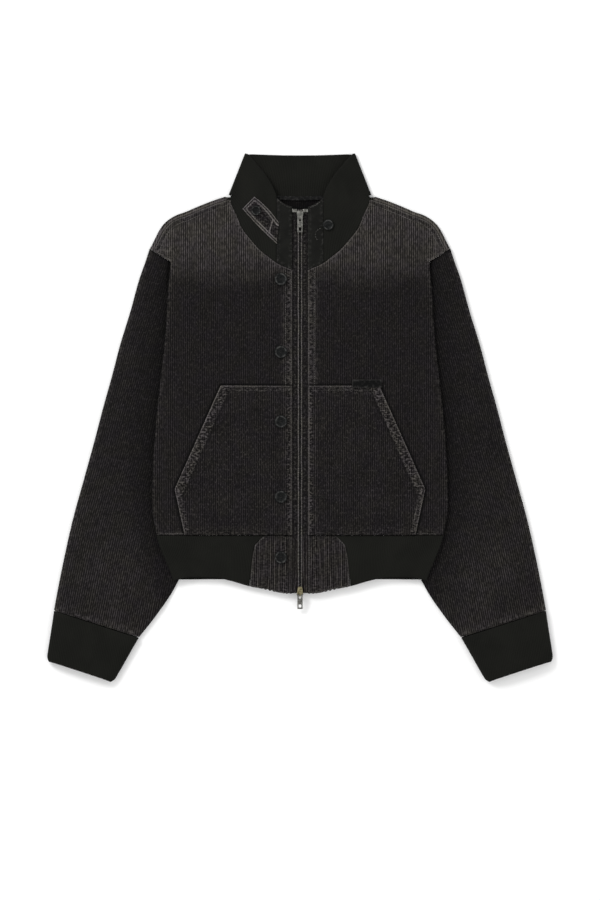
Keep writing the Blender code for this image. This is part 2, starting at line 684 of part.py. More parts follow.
def hem_tab_grid():
    """Right gathered denim piece between the zip and the hem band."""
    grid = []
    for at in HEM_ROWS:
        x = spaced(FRONT_EDGE_X, float(tab_edge(at)), 24)
        y = HEM_Y - 2 * GAP + (hem_bottom(x) - HEM_Y + 2 * GAP) * at
        z = hem_top(x, y) + gathers(x, np.full_like(x, at))
        grid.append(np.column_stack([x, y, z]))
    return np.array(grid)[::-1]


# ---------------------------------------------------------------- pieces that lie on the fronts

PATCH_CLEAR = 0.45  # a patch lies this far above the cloth that carries it


def patch_grid(bottom, top, left, right, lift, height):
    """A patch between four edges, laid on the cloth below it; its outer face is on top."""
    plan = coons(bottom, top, left, right)
    return np.dstack([plan, height(plan[..., 0], plan[..., 1]) + lift])


def segment(first, last, count):
    """Evenly spaced points from first to last."""
    return np.array(first) + (np.array(last) - np.array(first)) * spaced(0, 1, count)[:, None]


def pocket_grid():
    """Right patch pocket with its slanted opening, open edge and stitched edge alike."""
    corner = np.column_stack([POCKET["x"], POCKET["y"]])
    count = 11
    top = segment(corner[0], corner[1], count)
    bottom = segment(corner[4], corner[3], count)
    side_length = lengths(corner[1:4])
    at = spaced(0, side_length[-1], count)
    right = np.column_stack([np.interp(at, side_length, corner[1:4, axis]) for axis in range(2)])[::-1]
    left = segment(corner[4], corner[0], count)
    return patch_grid(bottom, top, left, right, PATCH_CLEAR + DENIM, front_top)


STRAP_BOW = 2.2  # its long edges bulge this much


def strap_grid():
    """Neck strap on the left of the collar, its free end square, the other at the placket."""
    corner = np.column_stack([STRAP["x"], STRAP["y"]])
    bow = STRAP_BOW * np.sin(math.pi * spaced(0, 1, 9))[:, None] * np.array([0.66, 0.75])
    lower = segment(corner[0], corner[3], 9) - bow * 0.6
    upper = segment(corner[1], corner[2], 9) + bow
    return patch_grid(lower, upper, segment(corner[0], corner[1], 5), segment(corner[3], corner[2], 5),
                      PATCH_CLEAR + DENIM, front_top)


def label_grid():
    """Small bare woven tag folded over the top edge of the right pocket."""
    corner = np.column_stack([LABEL["x"], LABEL["y"]])
    left = segment(corner[3], corner[0], 4)
    right = segment(corner[2], corner[1], 4)
    return patch_grid(segment(corner[3], corner[2], 5), segment(corner[0], corner[1], 5), left, right,
                      2 * PATCH_CLEAR + DENIM + TAPE, front_top)


def strip_grid(xs, ys, height):
    """Strip of cloth over a table of y values, its outer face at the given height."""
    x, y = np.meshgrid(xs, ys)
    return np.dstack([x, y, height(x, y)])


def centre_top(y):
    """Height of the cloth beside the zip, over body, collar and hem."""
    x = np.full_like(y, FRONT_EDGE_X)
    return np.where(y > HEM_Y, front_top(x, np.maximum(y, HEM_Y)), hem_top(x, y))


def zip_rows(low, high):
    """Places along the zip, close together where the hem and the neck change its height."""
    middle = (-222, -200, -178, -165, -158, -150, -143, -135, -60, 20, 100, 180, 215, 245)
    return np.array([low] + [y for y in middle if low < y < high] + [high], dtype=float)


def zip_tape_grid():
    """Right half of the zip tape, under the edge of the front."""
    ys = zip_rows(ZIP_BOTTOM_Y - TAPE_BEYOND_BOTTOM, ZIP_TOP_Y + TAPE_BEYOND_TOP)
    xs = np.array([GAP, ZIP_TAPE_HALF])
    return strip_grid(xs, ys, lambda x, y: centre_top(y) - DENIM - 2 * GAP)


NECK_TAPE_HALF = 52.0
NECK_TAPE_WIDTH = 6.0
NECK_TAPE_BELOW = 1.5  # it reaches this far below the seam


def neck_tape_grid():
    """Narrow tape over the seam between the back and the collar, on the inside."""
    xs = spaced(-NECK_TAPE_HALF, NECK_TAPE_HALF, 9)
    ys = spaced(0.0, NECK_TAPE_WIDTH, 3)
    x, y = np.meshgrid(xs, ys)
    curve = read(np.abs(x), BACK_NECK["x"], BACK_NECK["y"])
    return np.dstack([x, curve - NECK_TAPE_BELOW + y, np.full(x.shape, RIB + GAP + TAPE)])


# ---------------------------------------------------------------- zip, pulls and buttons

def bar_along(name, ys, half, low, high, material, collection):
    """Closed bar that follows the zip: a box section swept through heights at each y."""
    centre = centre_top(ys)
    ring = [(-half, low), (half, low), (half, high), (-half, high)]
    rows = np.array([[(x, y, z + c) for x, z in ring] for y, c in zip(ys, centre)])
    mesh = grid_mesh(name, rows[::-1], closed=True)
    work = bmesh.new()
    work.from_mesh(mesh)
    bmesh.ops.holes_fill(work, edges=[e for e in work.edges if e.is_boundary], sides=4)
    bmesh.ops.recalc_face_normals(work, faces=work.faces)
    work.to_mesh(mesh)
    work.free()
    return new_object(name, mesh, material, collection)


def turned(name, profile, centre, material, collection, steps=16):
    """Solid of revolution about an upright axis from radius and height pairs, top to bottom."""
    mesh = bpy.data.meshes.new(name)
    points = [(r * MM, 0.0, z * MM) for r, z in profile]
    mesh.from_pydata(points, [(i, i + 1) for i in range(len(points) - 1)], [])
    piece = new_object(name, mesh, material, collection)
    piece.location = [value * MM for value in centre]
    screw = piece.modifiers.new("Turn", "SCREW")
    screw.steps = steps
    screw.render_steps = steps
    screw.use_merge_vertices = True
    screw.merge_threshold = 0.00001
    screw.use_normal_calculate = True
    return piece


def button(name, x, y, carried, radius, material, collection):
    """Flat sewn button with a raised rim and a dished middle."""
    turn = np.radians(np.arange(0, 360, 45))
    around = (x + radius * np.cos(turn), y + radius * np.sin(turn))
    surface = front_top if y > HEM_Y else hem_top
    height = float(surface(*around).max()) + (0.0 if y > HEM_Y else GATHERS["lift"].max())
    top = BUTTON_THICK
    profile = [
        (0.0, top - 0.9), (radius * 0.6, top - 0.8), (radius * 0.72, top), (radius * 0.88, top),
        (radius, top - 0.9), (radius * 0.9, 0.3), (radius * 0.72, 0.0), (0.0, 0.0),
    ]
    return turned(name, profile, (x, y, height + carried), material, collection)


def plate(name, outline, holes, thickness, material, collection):
    """Flat plate from an outline with holes, extruded about its own middle plane."""
    curve = bpy.data.curves.new(name, "CURVE")
    curve.dimensions = "2D"
    curve.fill_mode = "BOTH"
    curve.extrude = thickness / 2 * MM
    for points in [outline] + holes:
        spline = curve.splines.new("POLY")
        spline.points.add(len(points) - 1)
        for point, (x, y) in zip(spline.points, points):
            point.co = (x * MM, y * MM, 0.0, 1.0)
        spline.use_cyclic_u = True
    source = bpy.data.objects.new(name + "_outline", curve)
    collection.objects.link(source)
    graph = bpy.context.evaluated_depsgraph_get()
    mesh = bpy.data.meshes.new_from_object(source.evaluated_get(graph))
    bpy.data.objects.remove(source)
    mesh.name = name
    mesh.materials.clear()
    work = bmesh.new()
    work.from_mesh(mesh)
    bmesh.ops.remove_doubles(work, verts=work.verts, dist=0.000001)
    bmesh.ops.recalc_face_normals(work, faces=work.faces)
    work.to_mesh(mesh)
    work.free()
    return new_object(name, mesh, material, collection)


def rounded_rectangle(x0, y0, x1, y1, radius, steps=3):
    """Outline of a rectangle with round corners, anticlockwise."""
    points = []
    corners = ((x1 - radius, y0 + radius, -90), (x1 - radius, y1 - radius, 0),
               (x0 + radius, y1 - radius, 90), (x0 + radius, y0 + radius, 180))
    for cx, cy, first in corners:
        for step in range(steps + 1):
            angle = math.radians(first + 90.0 * step / steps)
            points.append((cx + radius * math.cos(angle), cy + radius * math.sin(angle)))
    return points


SLIDER_LOW = -DENIM - GAP  # underside of a slider or the chain, from the cloth's height
HINGE_UP = 1.4  # height of a pull's hinge above its slider
HINGE_FROM_TOP = {"top": 8.5, "bottom": 10.9}  # from a slider's upper end down to the hinge
PULL_TILT = {"top": 6.9, "bottom": 20.0}  # degrees that each pull droops
BRIDGE_HALF = 1.0
BRIDGE = (-2.4, -0.5, 4.0, 3.7)  # low and high corners of the bridge, from hinge and slider top
BRIDGE_HOLE = (-1.3, 0.1, 3.0, 2.8)
PULL_WINDOW = (-1.4, -6.2, 1.4, -0.7)
PULL_EYE = (-1.9, -19.6, 1.9, -14.6)


def slider_places(end):
    """Upper end of a slider, height of its top face, and the middle of its pull's hinge."""
    upper = ZIP_TOP_Y if end == "top" else ZIP_BOTTOM_Y
    middle = np.array([upper - SLIDER_LENGTH / 2])
    face = float(centre_top(middle)[0]) + SLIDER_LOW + SLIDER_THICK
    return upper, face, (0.0, upper - HINGE_FROM_TOP[end], face + HINGE_UP)


def slider(end, material, collection, guides):
    """Zip slider: a shield-shaped body with a bridge that carries the pull."""
    upper, face, hinge = slider_places(end)
    wide, slim = SLIDER_HALF, SLIDER_HALF * SLIDER_WAIST
    lower = upper - SLIDER_LENGTH
    if end == "bottom":
        wide, slim = slim, wide
    outline = [(slim * 0.8, lower), (slim, lower + 1.0), (wide, upper - 3.0), (wide * 0.8, upper),
               (-wide * 0.8, upper), (-wide, upper - 3.0), (-slim, lower + 1.0), (-slim * 0.8, lower)]
    body = plate("slider_" + end, outline, [], SLIDER_THICK, material, collection)
    body.location.z = (face - SLIDER_THICK / 2) * MM
    loop = plate("bridge_" + end, rounded_rectangle(*BRIDGE, 1.2), [rounded_rectangle(*BRIDGE_HOLE, 0.8)],
                 2 * BRIDGE_HALF, material, guides)
    loop.rotation_euler = (math.radians(90), 0.0, math.radians(90))
    loop.location = (0.0, hinge[1] * MM, face * MM)
    loop.hide_render = True
    loop.display_type = "WIRE"
    joined = body.modifiers.new("Bridge", "BOOLEAN")
    joined.operation = "UNION"
    joined.object = loop
    return body


def pull(end, material, collection):
    """Pull tab, with its origin on its hinge: a plate with a window at the bridge and an eye."""
    hinge = slider_places(end)[2]
    outline = rounded_rectangle(-PULL_HALF, -PULL_LENGTH, PULL_HALF, 0.7, 0.7, 2)
    tab = plate("pull_" + end, outline, [rounded_rectangle(*PULL_WINDOW, 0.3, 1),
                                         rounded_rectangle(*PULL_EYE, 0.5, 1)],
                PULL_THICK, material, collection)
    tab.location = [value * MM for value in hinge]
    tab.rotation_euler = (math.radians(PULL_TILT[end]), 0.0, 0.0)
    return tab


# ---------------------------------------------------------------- the jacket

def build():
    """Clear the scene and make every piece of the jacket."""
    for piece in list(bpy.data.objects):
        bpy.data.objects.remove(piece)
    jacket = bpy.data.collections.new("denim_jacket")
    guides = bpy.data.collections.new("cutters")
    for collection in (jacket, guides):
        bpy.context.scene.collection.children.link(collection)

    denim = principled("washed_black_denim", (0.022, 0.021, 0.020), 0.85)
    rib = principled("black_rib_knit", (0.011, 0.011, 0.010), 0.9)
    smooth = principled("placket_cloth", (0.016, 0.016, 0.015), 0.8)
    tape = principled("zip_tape", (0.014, 0.014, 0.014), 0.8)
    metal = principled("worn_nickel", (0.42, 0.39, 0.34), 0.38, 1.0)
    horn = principled("button_resin", (0.018, 0.019, 0.020), 0.35)
    woven = principled("woven_tag", (0.010, 0.010, 0.010), 0.7)

    cloth("back", back_grid(), DENIM, denim, jacket)
    cloth("collar", collar_grid(), RIB, rib, jacket)
    cloth("hem_rib", hem_rib_grid(), RIB, rib, jacket)
    paired = (
        ("front", front_grid, DENIM, denim, False),
        ("sleeve_top", sleeve_top_grid, DENIM, denim, False),
        ("sleeve_under", sleeve_under_grid, DENIM, denim, False),
        ("cuff", cuff_grid, RIB, rib, True),
        ("collar_front", collar_front_grid, DENIM, smooth, False),
        ("hem_tab", hem_tab_grid, DENIM, denim, False),
        ("pocket", pocket_grid, DENIM, denim, False),
        ("zip_tape", zip_tape_grid, TAPE, tape, False),
    )
    for name, make, wall, material, closed in paired:
        grid = make()
        cloth(name + "_right", grid, wall, material, jacket, closed)
        cloth(name + "_left", flipped(grid), wall, material, jacket, closed)
    cloth("strap", strap_grid(), DENIM, denim, jacket)
    cloth("label", label_grid(), TAPE, woven, jacket)
    cloth("neck_tape", neck_tape_grid(), TAPE, tape, jacket)

    chain_y = zip_rows(ZIP_BOTTOM_Y + 2 * GAP, ZIP_TOP_Y - SLIDER_LENGTH - 2 * GAP)
    bar_along("zip_chain", chain_y, CHAIN_HALF, SLIDER_LOW, SLIDER_LOW + CHAIN_THICK, metal, jacket)
    for end in ("top", "bottom"):
        slider(end, metal, jacket, guides)
        pull(end, metal, jacket)

    on_patch = PATCH_CLEAR + DENIM
    for number, y in enumerate(FRONT_BUTTONS_Y, start=1):
        below = on_patch if POCKET["y"][3] < y < POCKET["y"][0] else 0.0
        button(f"button_{number}", BUTTON_X, y, below + GAP, BUTTON_R, horn, jacket)
    button("button_collar", *COLLAR_BUTTON, GAP, COLLAR_BUTTON_R, horn, jacket)
    button("button_strap", *STRAP_BUTTON, on_patch + GAP, STRAP_BUTTON_R, horn, jacket)


build()
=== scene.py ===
"""Looks of a cropped denim jacket with rib-knit collar, cuffs and hem band, laid flat on its back.

Lengths in the classes are millimetres and become metres when a mesh is made. X runs across the
jacket, with "right" at +X, Y runs from the hem to the collar, and Z up from the surface that it
lies on. Every cloth piece is a grid of points on its outer face, worked out as whole arrays, with
a UV map of the cut cloth in metres, so that stripes and weave follow the cloth.
"""

from __future__ import annotations

import logging
import math
from dataclasses import dataclass, field
from enum import Enum

import bmesh
import bpy
import numpy as np
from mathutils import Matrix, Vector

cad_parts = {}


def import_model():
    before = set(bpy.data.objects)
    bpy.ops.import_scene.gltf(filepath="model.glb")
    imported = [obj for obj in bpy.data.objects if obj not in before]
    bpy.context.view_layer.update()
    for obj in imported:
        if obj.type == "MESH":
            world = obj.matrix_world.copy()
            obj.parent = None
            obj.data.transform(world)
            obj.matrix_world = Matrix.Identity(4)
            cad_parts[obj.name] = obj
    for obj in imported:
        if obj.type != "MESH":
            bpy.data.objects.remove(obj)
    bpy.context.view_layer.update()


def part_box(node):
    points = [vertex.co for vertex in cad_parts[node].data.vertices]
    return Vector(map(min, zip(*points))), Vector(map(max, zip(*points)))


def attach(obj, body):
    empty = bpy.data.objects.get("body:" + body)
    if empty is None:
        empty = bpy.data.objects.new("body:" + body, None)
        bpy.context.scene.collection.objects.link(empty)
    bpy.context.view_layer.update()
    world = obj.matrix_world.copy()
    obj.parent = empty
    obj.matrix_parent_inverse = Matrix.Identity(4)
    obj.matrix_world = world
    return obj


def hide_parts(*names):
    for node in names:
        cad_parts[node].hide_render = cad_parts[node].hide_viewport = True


Array = np.ndarray
LOG = logging.getLogger("jacket")
MM = 0.001
BODY = "jacket"


class Side(Enum):
    """Which half of the jacket a piece belongs to."""

    RIGHT = 1
    LEFT = -1

    @property
    def suffix(self) -> str:
        """Ending of the names on this side."""
        return "right" if self is Side.RIGHT else "left"


# ---------------------------------------------------------------- curves and grids


def table(names: str, rows: list[tuple[float, ...]]) -> dict[str, Array]:
    """Rows of numbers as named columns.

    Args:
        names: column names with spaces between them.
        rows: the rows, one value for each name.

    Returns:
        One array for each name.
    """
    values = np.array(rows, dtype=float)
    return {name: values[:, index] for index, name in enumerate(names.split())}


def smoothstep(t: Array | float) -> Array:
    """Ease from 0 to 1, level at both ends: t squared times (3 - 2t), t held within 0 and 1."""
    t = np.clip(t, 0.0, 1.0)
    return t * t * (3.0 - 2.0 * t)


def bell(t: Array) -> Array:
    """Bell curve: e to the power of minus t squared."""
    return np.exp(-(t * t))


def read(x: Array, xs: Array, ys: Array) -> Array:
    """Monotone cubic through a table: cubic Hermite with harmonic-mean slopes.

    Args:
        x: where it is read.
        xs: rising places of the table's rows.
        ys: their values.

    Returns:
        The value at each x, held at the ends.
    """
    step = np.diff(xs)
    slope = np.diff(ys) / step
    tangent = np.concatenate([slope[:1], np.zeros(len(xs) - 2), slope[-1:]])
    product = 2.0 * slope[:-1] * slope[1:]
    total = np.where(product > 0, slope[:-1] + slope[1:], 1.0)
    tangent[1:-1] = np.where(product > 0, product / total, 0.0)
    x = np.clip(x, xs[0], xs[-1])
    index = np.clip(np.searchsorted(xs, x, side="right") - 1, 0, len(xs) - 2)
    width = step[index]
    t = (x - xs[index]) / width
    start = ys[index] * (1 + 2 * t) * (1 - t) ** 2 + tangent[index] * width * t * (1 - t) ** 2
    end = ys[index + 1] * t * t * (3 - 2 * t) + tangent[index + 1] * width * t * t * (t - 1)
    return start + end


def lengths(points: Array) -> Array:
    """Distance along a path at each of its points, the sum of its steps so far."""
    step = np.linalg.norm(np.diff(points, axis=0), axis=1)
    return np.concatenate([[0.0], np.cumsum(step)])


def along(points: Array, at: Array) -> Array:
    """Points at fractions of a path's length, straight between its own points."""
    run = lengths(points)
    target = np.asarray(at, dtype=float) * run[-1]
    return np.column_stack([np.interp(target, run, points[:, axis]) for axis in range(points.shape[1])])


def smooth_path(rows: dict[str, Array], at: Array) -> Array:
    """Points of a smooth plan path through a table's x and y, at fractions of its length."""
    points = np.column_stack([rows["x"], rows["y"]])
    run = lengths(points)
    target = np.asarray(at, dtype=float) * run[-1]
    return np.column_stack([read(target, run, points[:, axis]) for axis in range(2)])


def coons(bottom: Array, top: Array, left: Array, right: Array, u: Array, v: Array) -> Array:
    """Coons patch: the two ruled surfaces between opposite edges, less the one of the corners.

    Args:
        bottom: points along the first row.
        top: points along the last row.
        left: points up the first column.
        right: points up the last column.
        u: place of each column, 0 to 1.
        v: place of each row, 0 to 1.

    Returns:
        Grid of plan points, rows by columns by 2.
    """
    s, t = u[None, :, None], v[:, None, None]
    ruled = (1 - t) * bottom[None] + t * top[None] + (1 - s) * left[:, None] + s * right[:, None]
    corners = (1 - s) * (1 - t) * bottom[0] + s * (1 - t) * bottom[-1] + (1 - s) * t * top[0]
    return ruled - corners - s * t * top[-1]


def path_distance(x: Array, y: Array, path: Array) -> Array:
    """Distance in plan from each point to a path of straight pieces, the least over the pieces."""
    best = np.full(np.shape(x), np.inf)
    for (ax, ay), (bx, by) in zip(path[:-1], path[1:]):
        dx, dy = bx - ax, by - ay
        part = np.clip(((x - ax) * dx + (y - ay) * dy) / (dx * dx + dy * dy), 0.0, 1.0)
        best = np.minimum(best, np.hypot(x - ax - part * dx, y - ay - part * dy))
    return best


def waves(t: Array, seed: int, pitch: float) -> Array:
    """Uneven ripple of height about 1: six sines of seeded pitch and phase, added up.

    Args:
        t: place along the ripple, mm.
        seed: picks the pitches and phases.
        pitch: typical distance between its crests, mm.

    Returns:
        Height at each place.
    """
    dice = np.random.default_rng(seed)
    rates = 2 * math.pi / (pitch * dice.uniform(0.6, 1.9, 6))
    phases = dice.uniform(0, 2 * math.pi, 6)
    sizes = dice.uniform(0.5, 1.0, 6)
    total = sum(size * np.sin(t * rate + phase) for size, rate, phase in zip(sizes, rates, phases))
    return total / 2.0


def drift(x: Array, y: Array, seed: int, pitch: float) -> Array:
    """Soft uneven field of height about 1: ripples along six seeded directions, added up."""
    dice = np.random.default_rng(seed)
    total = np.zeros(np.shape(x))
    for angle in dice.uniform(0, math.pi, 6):
        turn = x * math.cos(angle) + y * math.sin(angle)
        rate = 2 * math.pi / (pitch * dice.uniform(0.6, 1.8))
        total = total + np.sin(turn * rate + dice.uniform(0, 2 * math.pi))
    return total / 3.5


# ---------------------------------------------------------------- the jacket's form


@dataclass(frozen=True)
class Crease:
    """One soft ridge or trough of the cloth: a bell across its line that fades at both ends."""

    x: float
    y: float
    angle: float  # degrees from +X that the crease runs
    length: float
    width: float
    height: float  # negative in a trough
    bow: float = 0.0  # how far its middle lies off the straight line

    def rise(self, x: Array, y: Array) -> Array:
        """Height added at plan points: height times a bell across and a smooth fade along."""
        turn = math.radians(self.angle)
        run = (x - self.x) * math.cos(turn) + (y - self.y) * math.sin(turn)
        off = (y - self.y) * math.cos(turn) - (x - self.x) * math.sin(turn)
        part = np.abs(run) / (self.length / 2)
        off = off - self.bow * (1 - part * part)
        return self.height * bell(off / self.width) * smoothstep((1.0 - part) / 0.6)


@dataclass(frozen=True)
class Form:
    """Outline and heights that all the pieces share, the same as the solids' own."""

    gap: float = 0.3
    hem_y: float = -165.0
    front_edge_x: float = 11.0
    neck_base_y: float = 204.5
    back_neck_y: float = 304.0
    roll: float = 4.0
    seam_in: float = 5.7
    chest_rise: float = 4.5
    centre_rise: float = 2.5
    rise_width: float = 49.0
    half_body: float = 200.0
    back_lift: float = 5.5
    side_seam_z: float = 7.9
    under_body: float = 4.6
    body_edge: dict[str, Array] = field(default_factory=lambda: table("y x", [
        (-300, 130), (-270, 155), (-246, 172), (-228, 177), (-165, 200), (-119, 206.5), (-60, 204.5),
        (3, 200), (57, 194), (112, 188), (175, 184), (217, 180.6), (300, 180.6)]))
    sleeve_hidden: dict[str, Array] = field(default_factory=lambda: table("y x", [
        (-307.5, 224.7), (-270, 196.6), (-231, 173.6), (-200, 165), (-150, 150), (-100, 140),
        (-50, 134), (5, 136), (50, 137), (95, 139), (140, 145), (178, 156), (200, 168),
        (216.5, 181.5)]))
    shoulder: dict[str, Array] = field(default_factory=lambda: table("x y", [
        (101.2, 309.2), (123.9, 301.6), (146.3, 292.6), (162, 285.9), (170.9, 283.0), (182.1, 276.9),
        (191.1, 269), (197.8, 259), (202.3, 250), (207.9, 238.8), (210, 235.5)]))
    collar_corner: tuple[float, float] = (77.0, 368.4)
    collar_foot: tuple[float, float] = (99.7, 310.6)
    armhole: tuple[tuple[float, float], tuple[float, float]] = ((180.6, 217.0), (210.0, 235.5))
    neckline: dict[str, Array] = field(default_factory=lambda: table("x y", [
        (11, 204.5), (31.6, 213.5), (43, 222), (56, 232.5), (66, 243.5), (80, 261), (92, 284),
        (97.2, 298), (99.0, 303.3)]))
    hem_bottom: dict[str, Array] = field(default_factory=lambda: table("x y", [
        (0, -246), (18, -246.5), (30, -245), (44, -241.5), (70, -236.5), (98, -228.5), (121, -224),
        (150, -223.5), (168, -226), (177, -229)]))
    tab_side: dict[str, Array] = field(default_factory=lambda: table("at x", [
        (0, 49.5), (0.1, 57.5), (0.2, 63.0), (0.45, 66.5), (0.72, 68.6), (1, 70)]))
    pocket: Array = field(default_factory=lambda: np.array([
        (12.5, 43.0), (110.5, 43.5), (174.5, -100.6), (161, -164.2), (12.5, -164.2)]))
    creases: tuple[Crease, ...] = (
        Crease(181, 196, 97, 90, 3.6, -1.6, 3.0),
        Crease(187, 214, 62, 44, 3.2, 0.9, 1.0),
        Crease(167, 222, 108, 78, 6.0, 0.8, 2.0),
        Crease(150, 150, 80, 110, 9.0, 0.55, 4.0),
        Crease(162, 92, 96, 120, 10.0, -0.6, -4.0),
        Crease(96, 96, 74, 120, 14.0, 0.5, 5.0),
        Crease(60, 150, 105, 120, 12.0, -0.5, -4.0),
        Crease(120, 30, 20, 90, 9.0, 0.45, 4.0),
        Crease(188, -30, 94, 130, 7.0, 0.6, 3.0),
        Crease(180, -120, 82, 80, 7.0, -0.6, -3.0),
        Crease(70, -40, 84, 130, 12.0, 0.5, 5.0),
        Crease(120, -90, 70, 100, 10.0, -0.45, 4.0),
        Crease(44, -128, 96, 60, 7.0, 0.5, 2.0),
        Crease(96, -140, 102, 46, 6.0, 0.5, 2.0),
        Crease(134, -144, 84, 42, 6.0, 0.45, -2.0),
        Crease(140, 240, 150, 70, 10.0, -0.5, 3.0),
        Crease(100, 228, 128, 80, 9.0, 0.45, 3.0),
    )

    def edge_x(self, y: Array) -> Array:
        """Half width of the body where it lies over a sleeve."""
        return read(y, self.body_edge["y"], self.body_edge["x"])

    def outline(self) -> Array:
        """Plan path of the collar fold and the shoulder, from the collar's corner outwards."""
        shoulder = np.column_stack([self.shoulder["x"], self.shoulder["y"]])[1:]
        return np.vstack([self.collar_corner, self.collar_foot, shoulder])

    def lift(self, x: Array, y: Array) -> Array:
        """Underside of the back: flat in the middle, eased up near a sleeve that lies below it."""
        corner_y = self.sleeve_hidden["y"][-1]
        hidden = read(np.minimum(y, corner_y), self.sleeve_hidden["y"], self.sleeve_hidden["x"])
        short = np.maximum(hidden - 8.0 - np.abs(x), 0.0) / 30.0
        beyond = np.maximum(y - corner_y, 0.0) / 20.0
        return self.back_lift * (1.0 - smoothstep(np.hypot(short, beyond)))

    def plain_top(self, x: Array, y: Array) -> Array:
        """Outer face of the fronts without folds: outline height, eased up to the chest."""
        x = np.abs(x)
        inside = path_distance(x, y, self.outline())
        chest = self.chest_rise + self.centre_rise * (1.0 - (x / self.half_body) ** 2)
        height = 2 * self.roll + chest * smoothstep((inside - self.seam_in) / self.rise_width)
        height = height - 1.6 * smoothstep((-138.0 - y) / 24.0)
        cap = smoothstep((x - 178.0) / 7.0) * smoothstep((y - 214.0) / 3.0)
        low = np.maximum(2 * self.roll, self.lift(x, y) + 4.0)
        return height - np.maximum(height - low, 0.0) * cap

    def folds(self, x: Array, y: Array) -> Array:
        """Folds of a front: its creases and a soft drift, none beside the zip or the neck."""
        side = np.where(x < 0, -1.0, 1.0)
        shift = np.where(side < 0, 7.0, 0.0)
        size = np.where(side < 0, 0.85, 1.0)
        across = np.abs(x)
        total = sum(crease.rise(across, y + shift) for crease in self.creases) * size
        total = total + 0.45 * drift(x, y, 11, 85.0) + 0.16 * drift(x, y, 12, 30.0)
        calm = smoothstep((across - 14.0) / 30.0) * smoothstep((self.edge_x(y) - across + 4.0) / 12.0)
        low = smoothstep((y - self.hem_y) / 14.0)
        high = smoothstep((self.neck_y(across) - y + 2.0) / 14.0)
        return total * calm * low * np.where(across < 99.0, high, 1.0)

    def top(self, x: Array, y: Array) -> Array:
        """Outer face of the fronts: the plain height with its folds."""
        return self.plain_top(x, y) + self.folds(x, y)

    def neck_y(self, x: Array) -> Array:
        """Front neckline at a distance from the zip."""
        return read(np.abs(x), self.neckline["x"], self.neckline["y"])

    def neck_path(self, start: float, count: int) -> Array:
        """Evenly spaced plan points along the right half of the neckline, from x = start outwards."""
        x = np.linspace(start, 99.0, 400)
        return along(np.column_stack([x, self.neck_y(x)]), np.linspace(0.0, 1.0, count))

    def hem_edge(self, x: Array) -> Array:
        """Lower edge of the hem at a distance from the zip."""
        return read(np.abs(x), self.hem_bottom["x"], self.hem_bottom["y"])

    def hem_top(self, x: Array, y: Array) -> Array:
        """Outer face of the hem: the body's height eased to that of the lower edge."""
        down = np.clip((self.hem_y - y) / 80.0, 0.0, 1.0)
        side = smoothstep((np.abs(x) - 60.0) / 110.0)
        bottom = 10.6 + 0.8 * side
        return self.plain_top(x, np.full_like(y, self.hem_y)) * (1 - down) + bottom * down

    def centre_top(self, y: Array) -> Array:
        """Height of the cloth beside the zip, over body, collar and hem."""
        x = np.full_like(y, self.front_edge_x)
        return np.where(y > self.hem_y, self.plain_top(x, np.maximum(y, self.hem_y)), self.hem_top(x, y))

    def tab_edge(self, down: Array) -> Array:
        """Seam between the gathered piece and the hem band, at a fraction of the way down."""
        return read(down, self.tab_side["at"], self.tab_side["x"])

    def shoulder_at(self, at: Array, inset: float, z: float) -> Array:
        """Points beside the shoulder outline, set in from it along its normal.

        Args:
            at: fractions of the outline's length.
            inset: distance inside it.
            z: their height.

        Returns:
            Points, one for each fraction.
        """
        at = np.asarray(at, dtype=float)
        ahead = smooth_path(self.shoulder, np.minimum(at + 0.01, 1.0))
        behind = smooth_path(self.shoulder, np.maximum(at - 0.01, 0.0))
        run = ahead - behind
        run /= np.linalg.norm(run, axis=1)[:, None]
        plan = smooth_path(self.shoulder, at) + np.column_stack([run[:, 1], -run[:, 0]]) * inset
        return np.column_stack([plan, np.full(len(at), z)])


FORM = Form()


# ---------------------------------------------------------------- cloth pieces


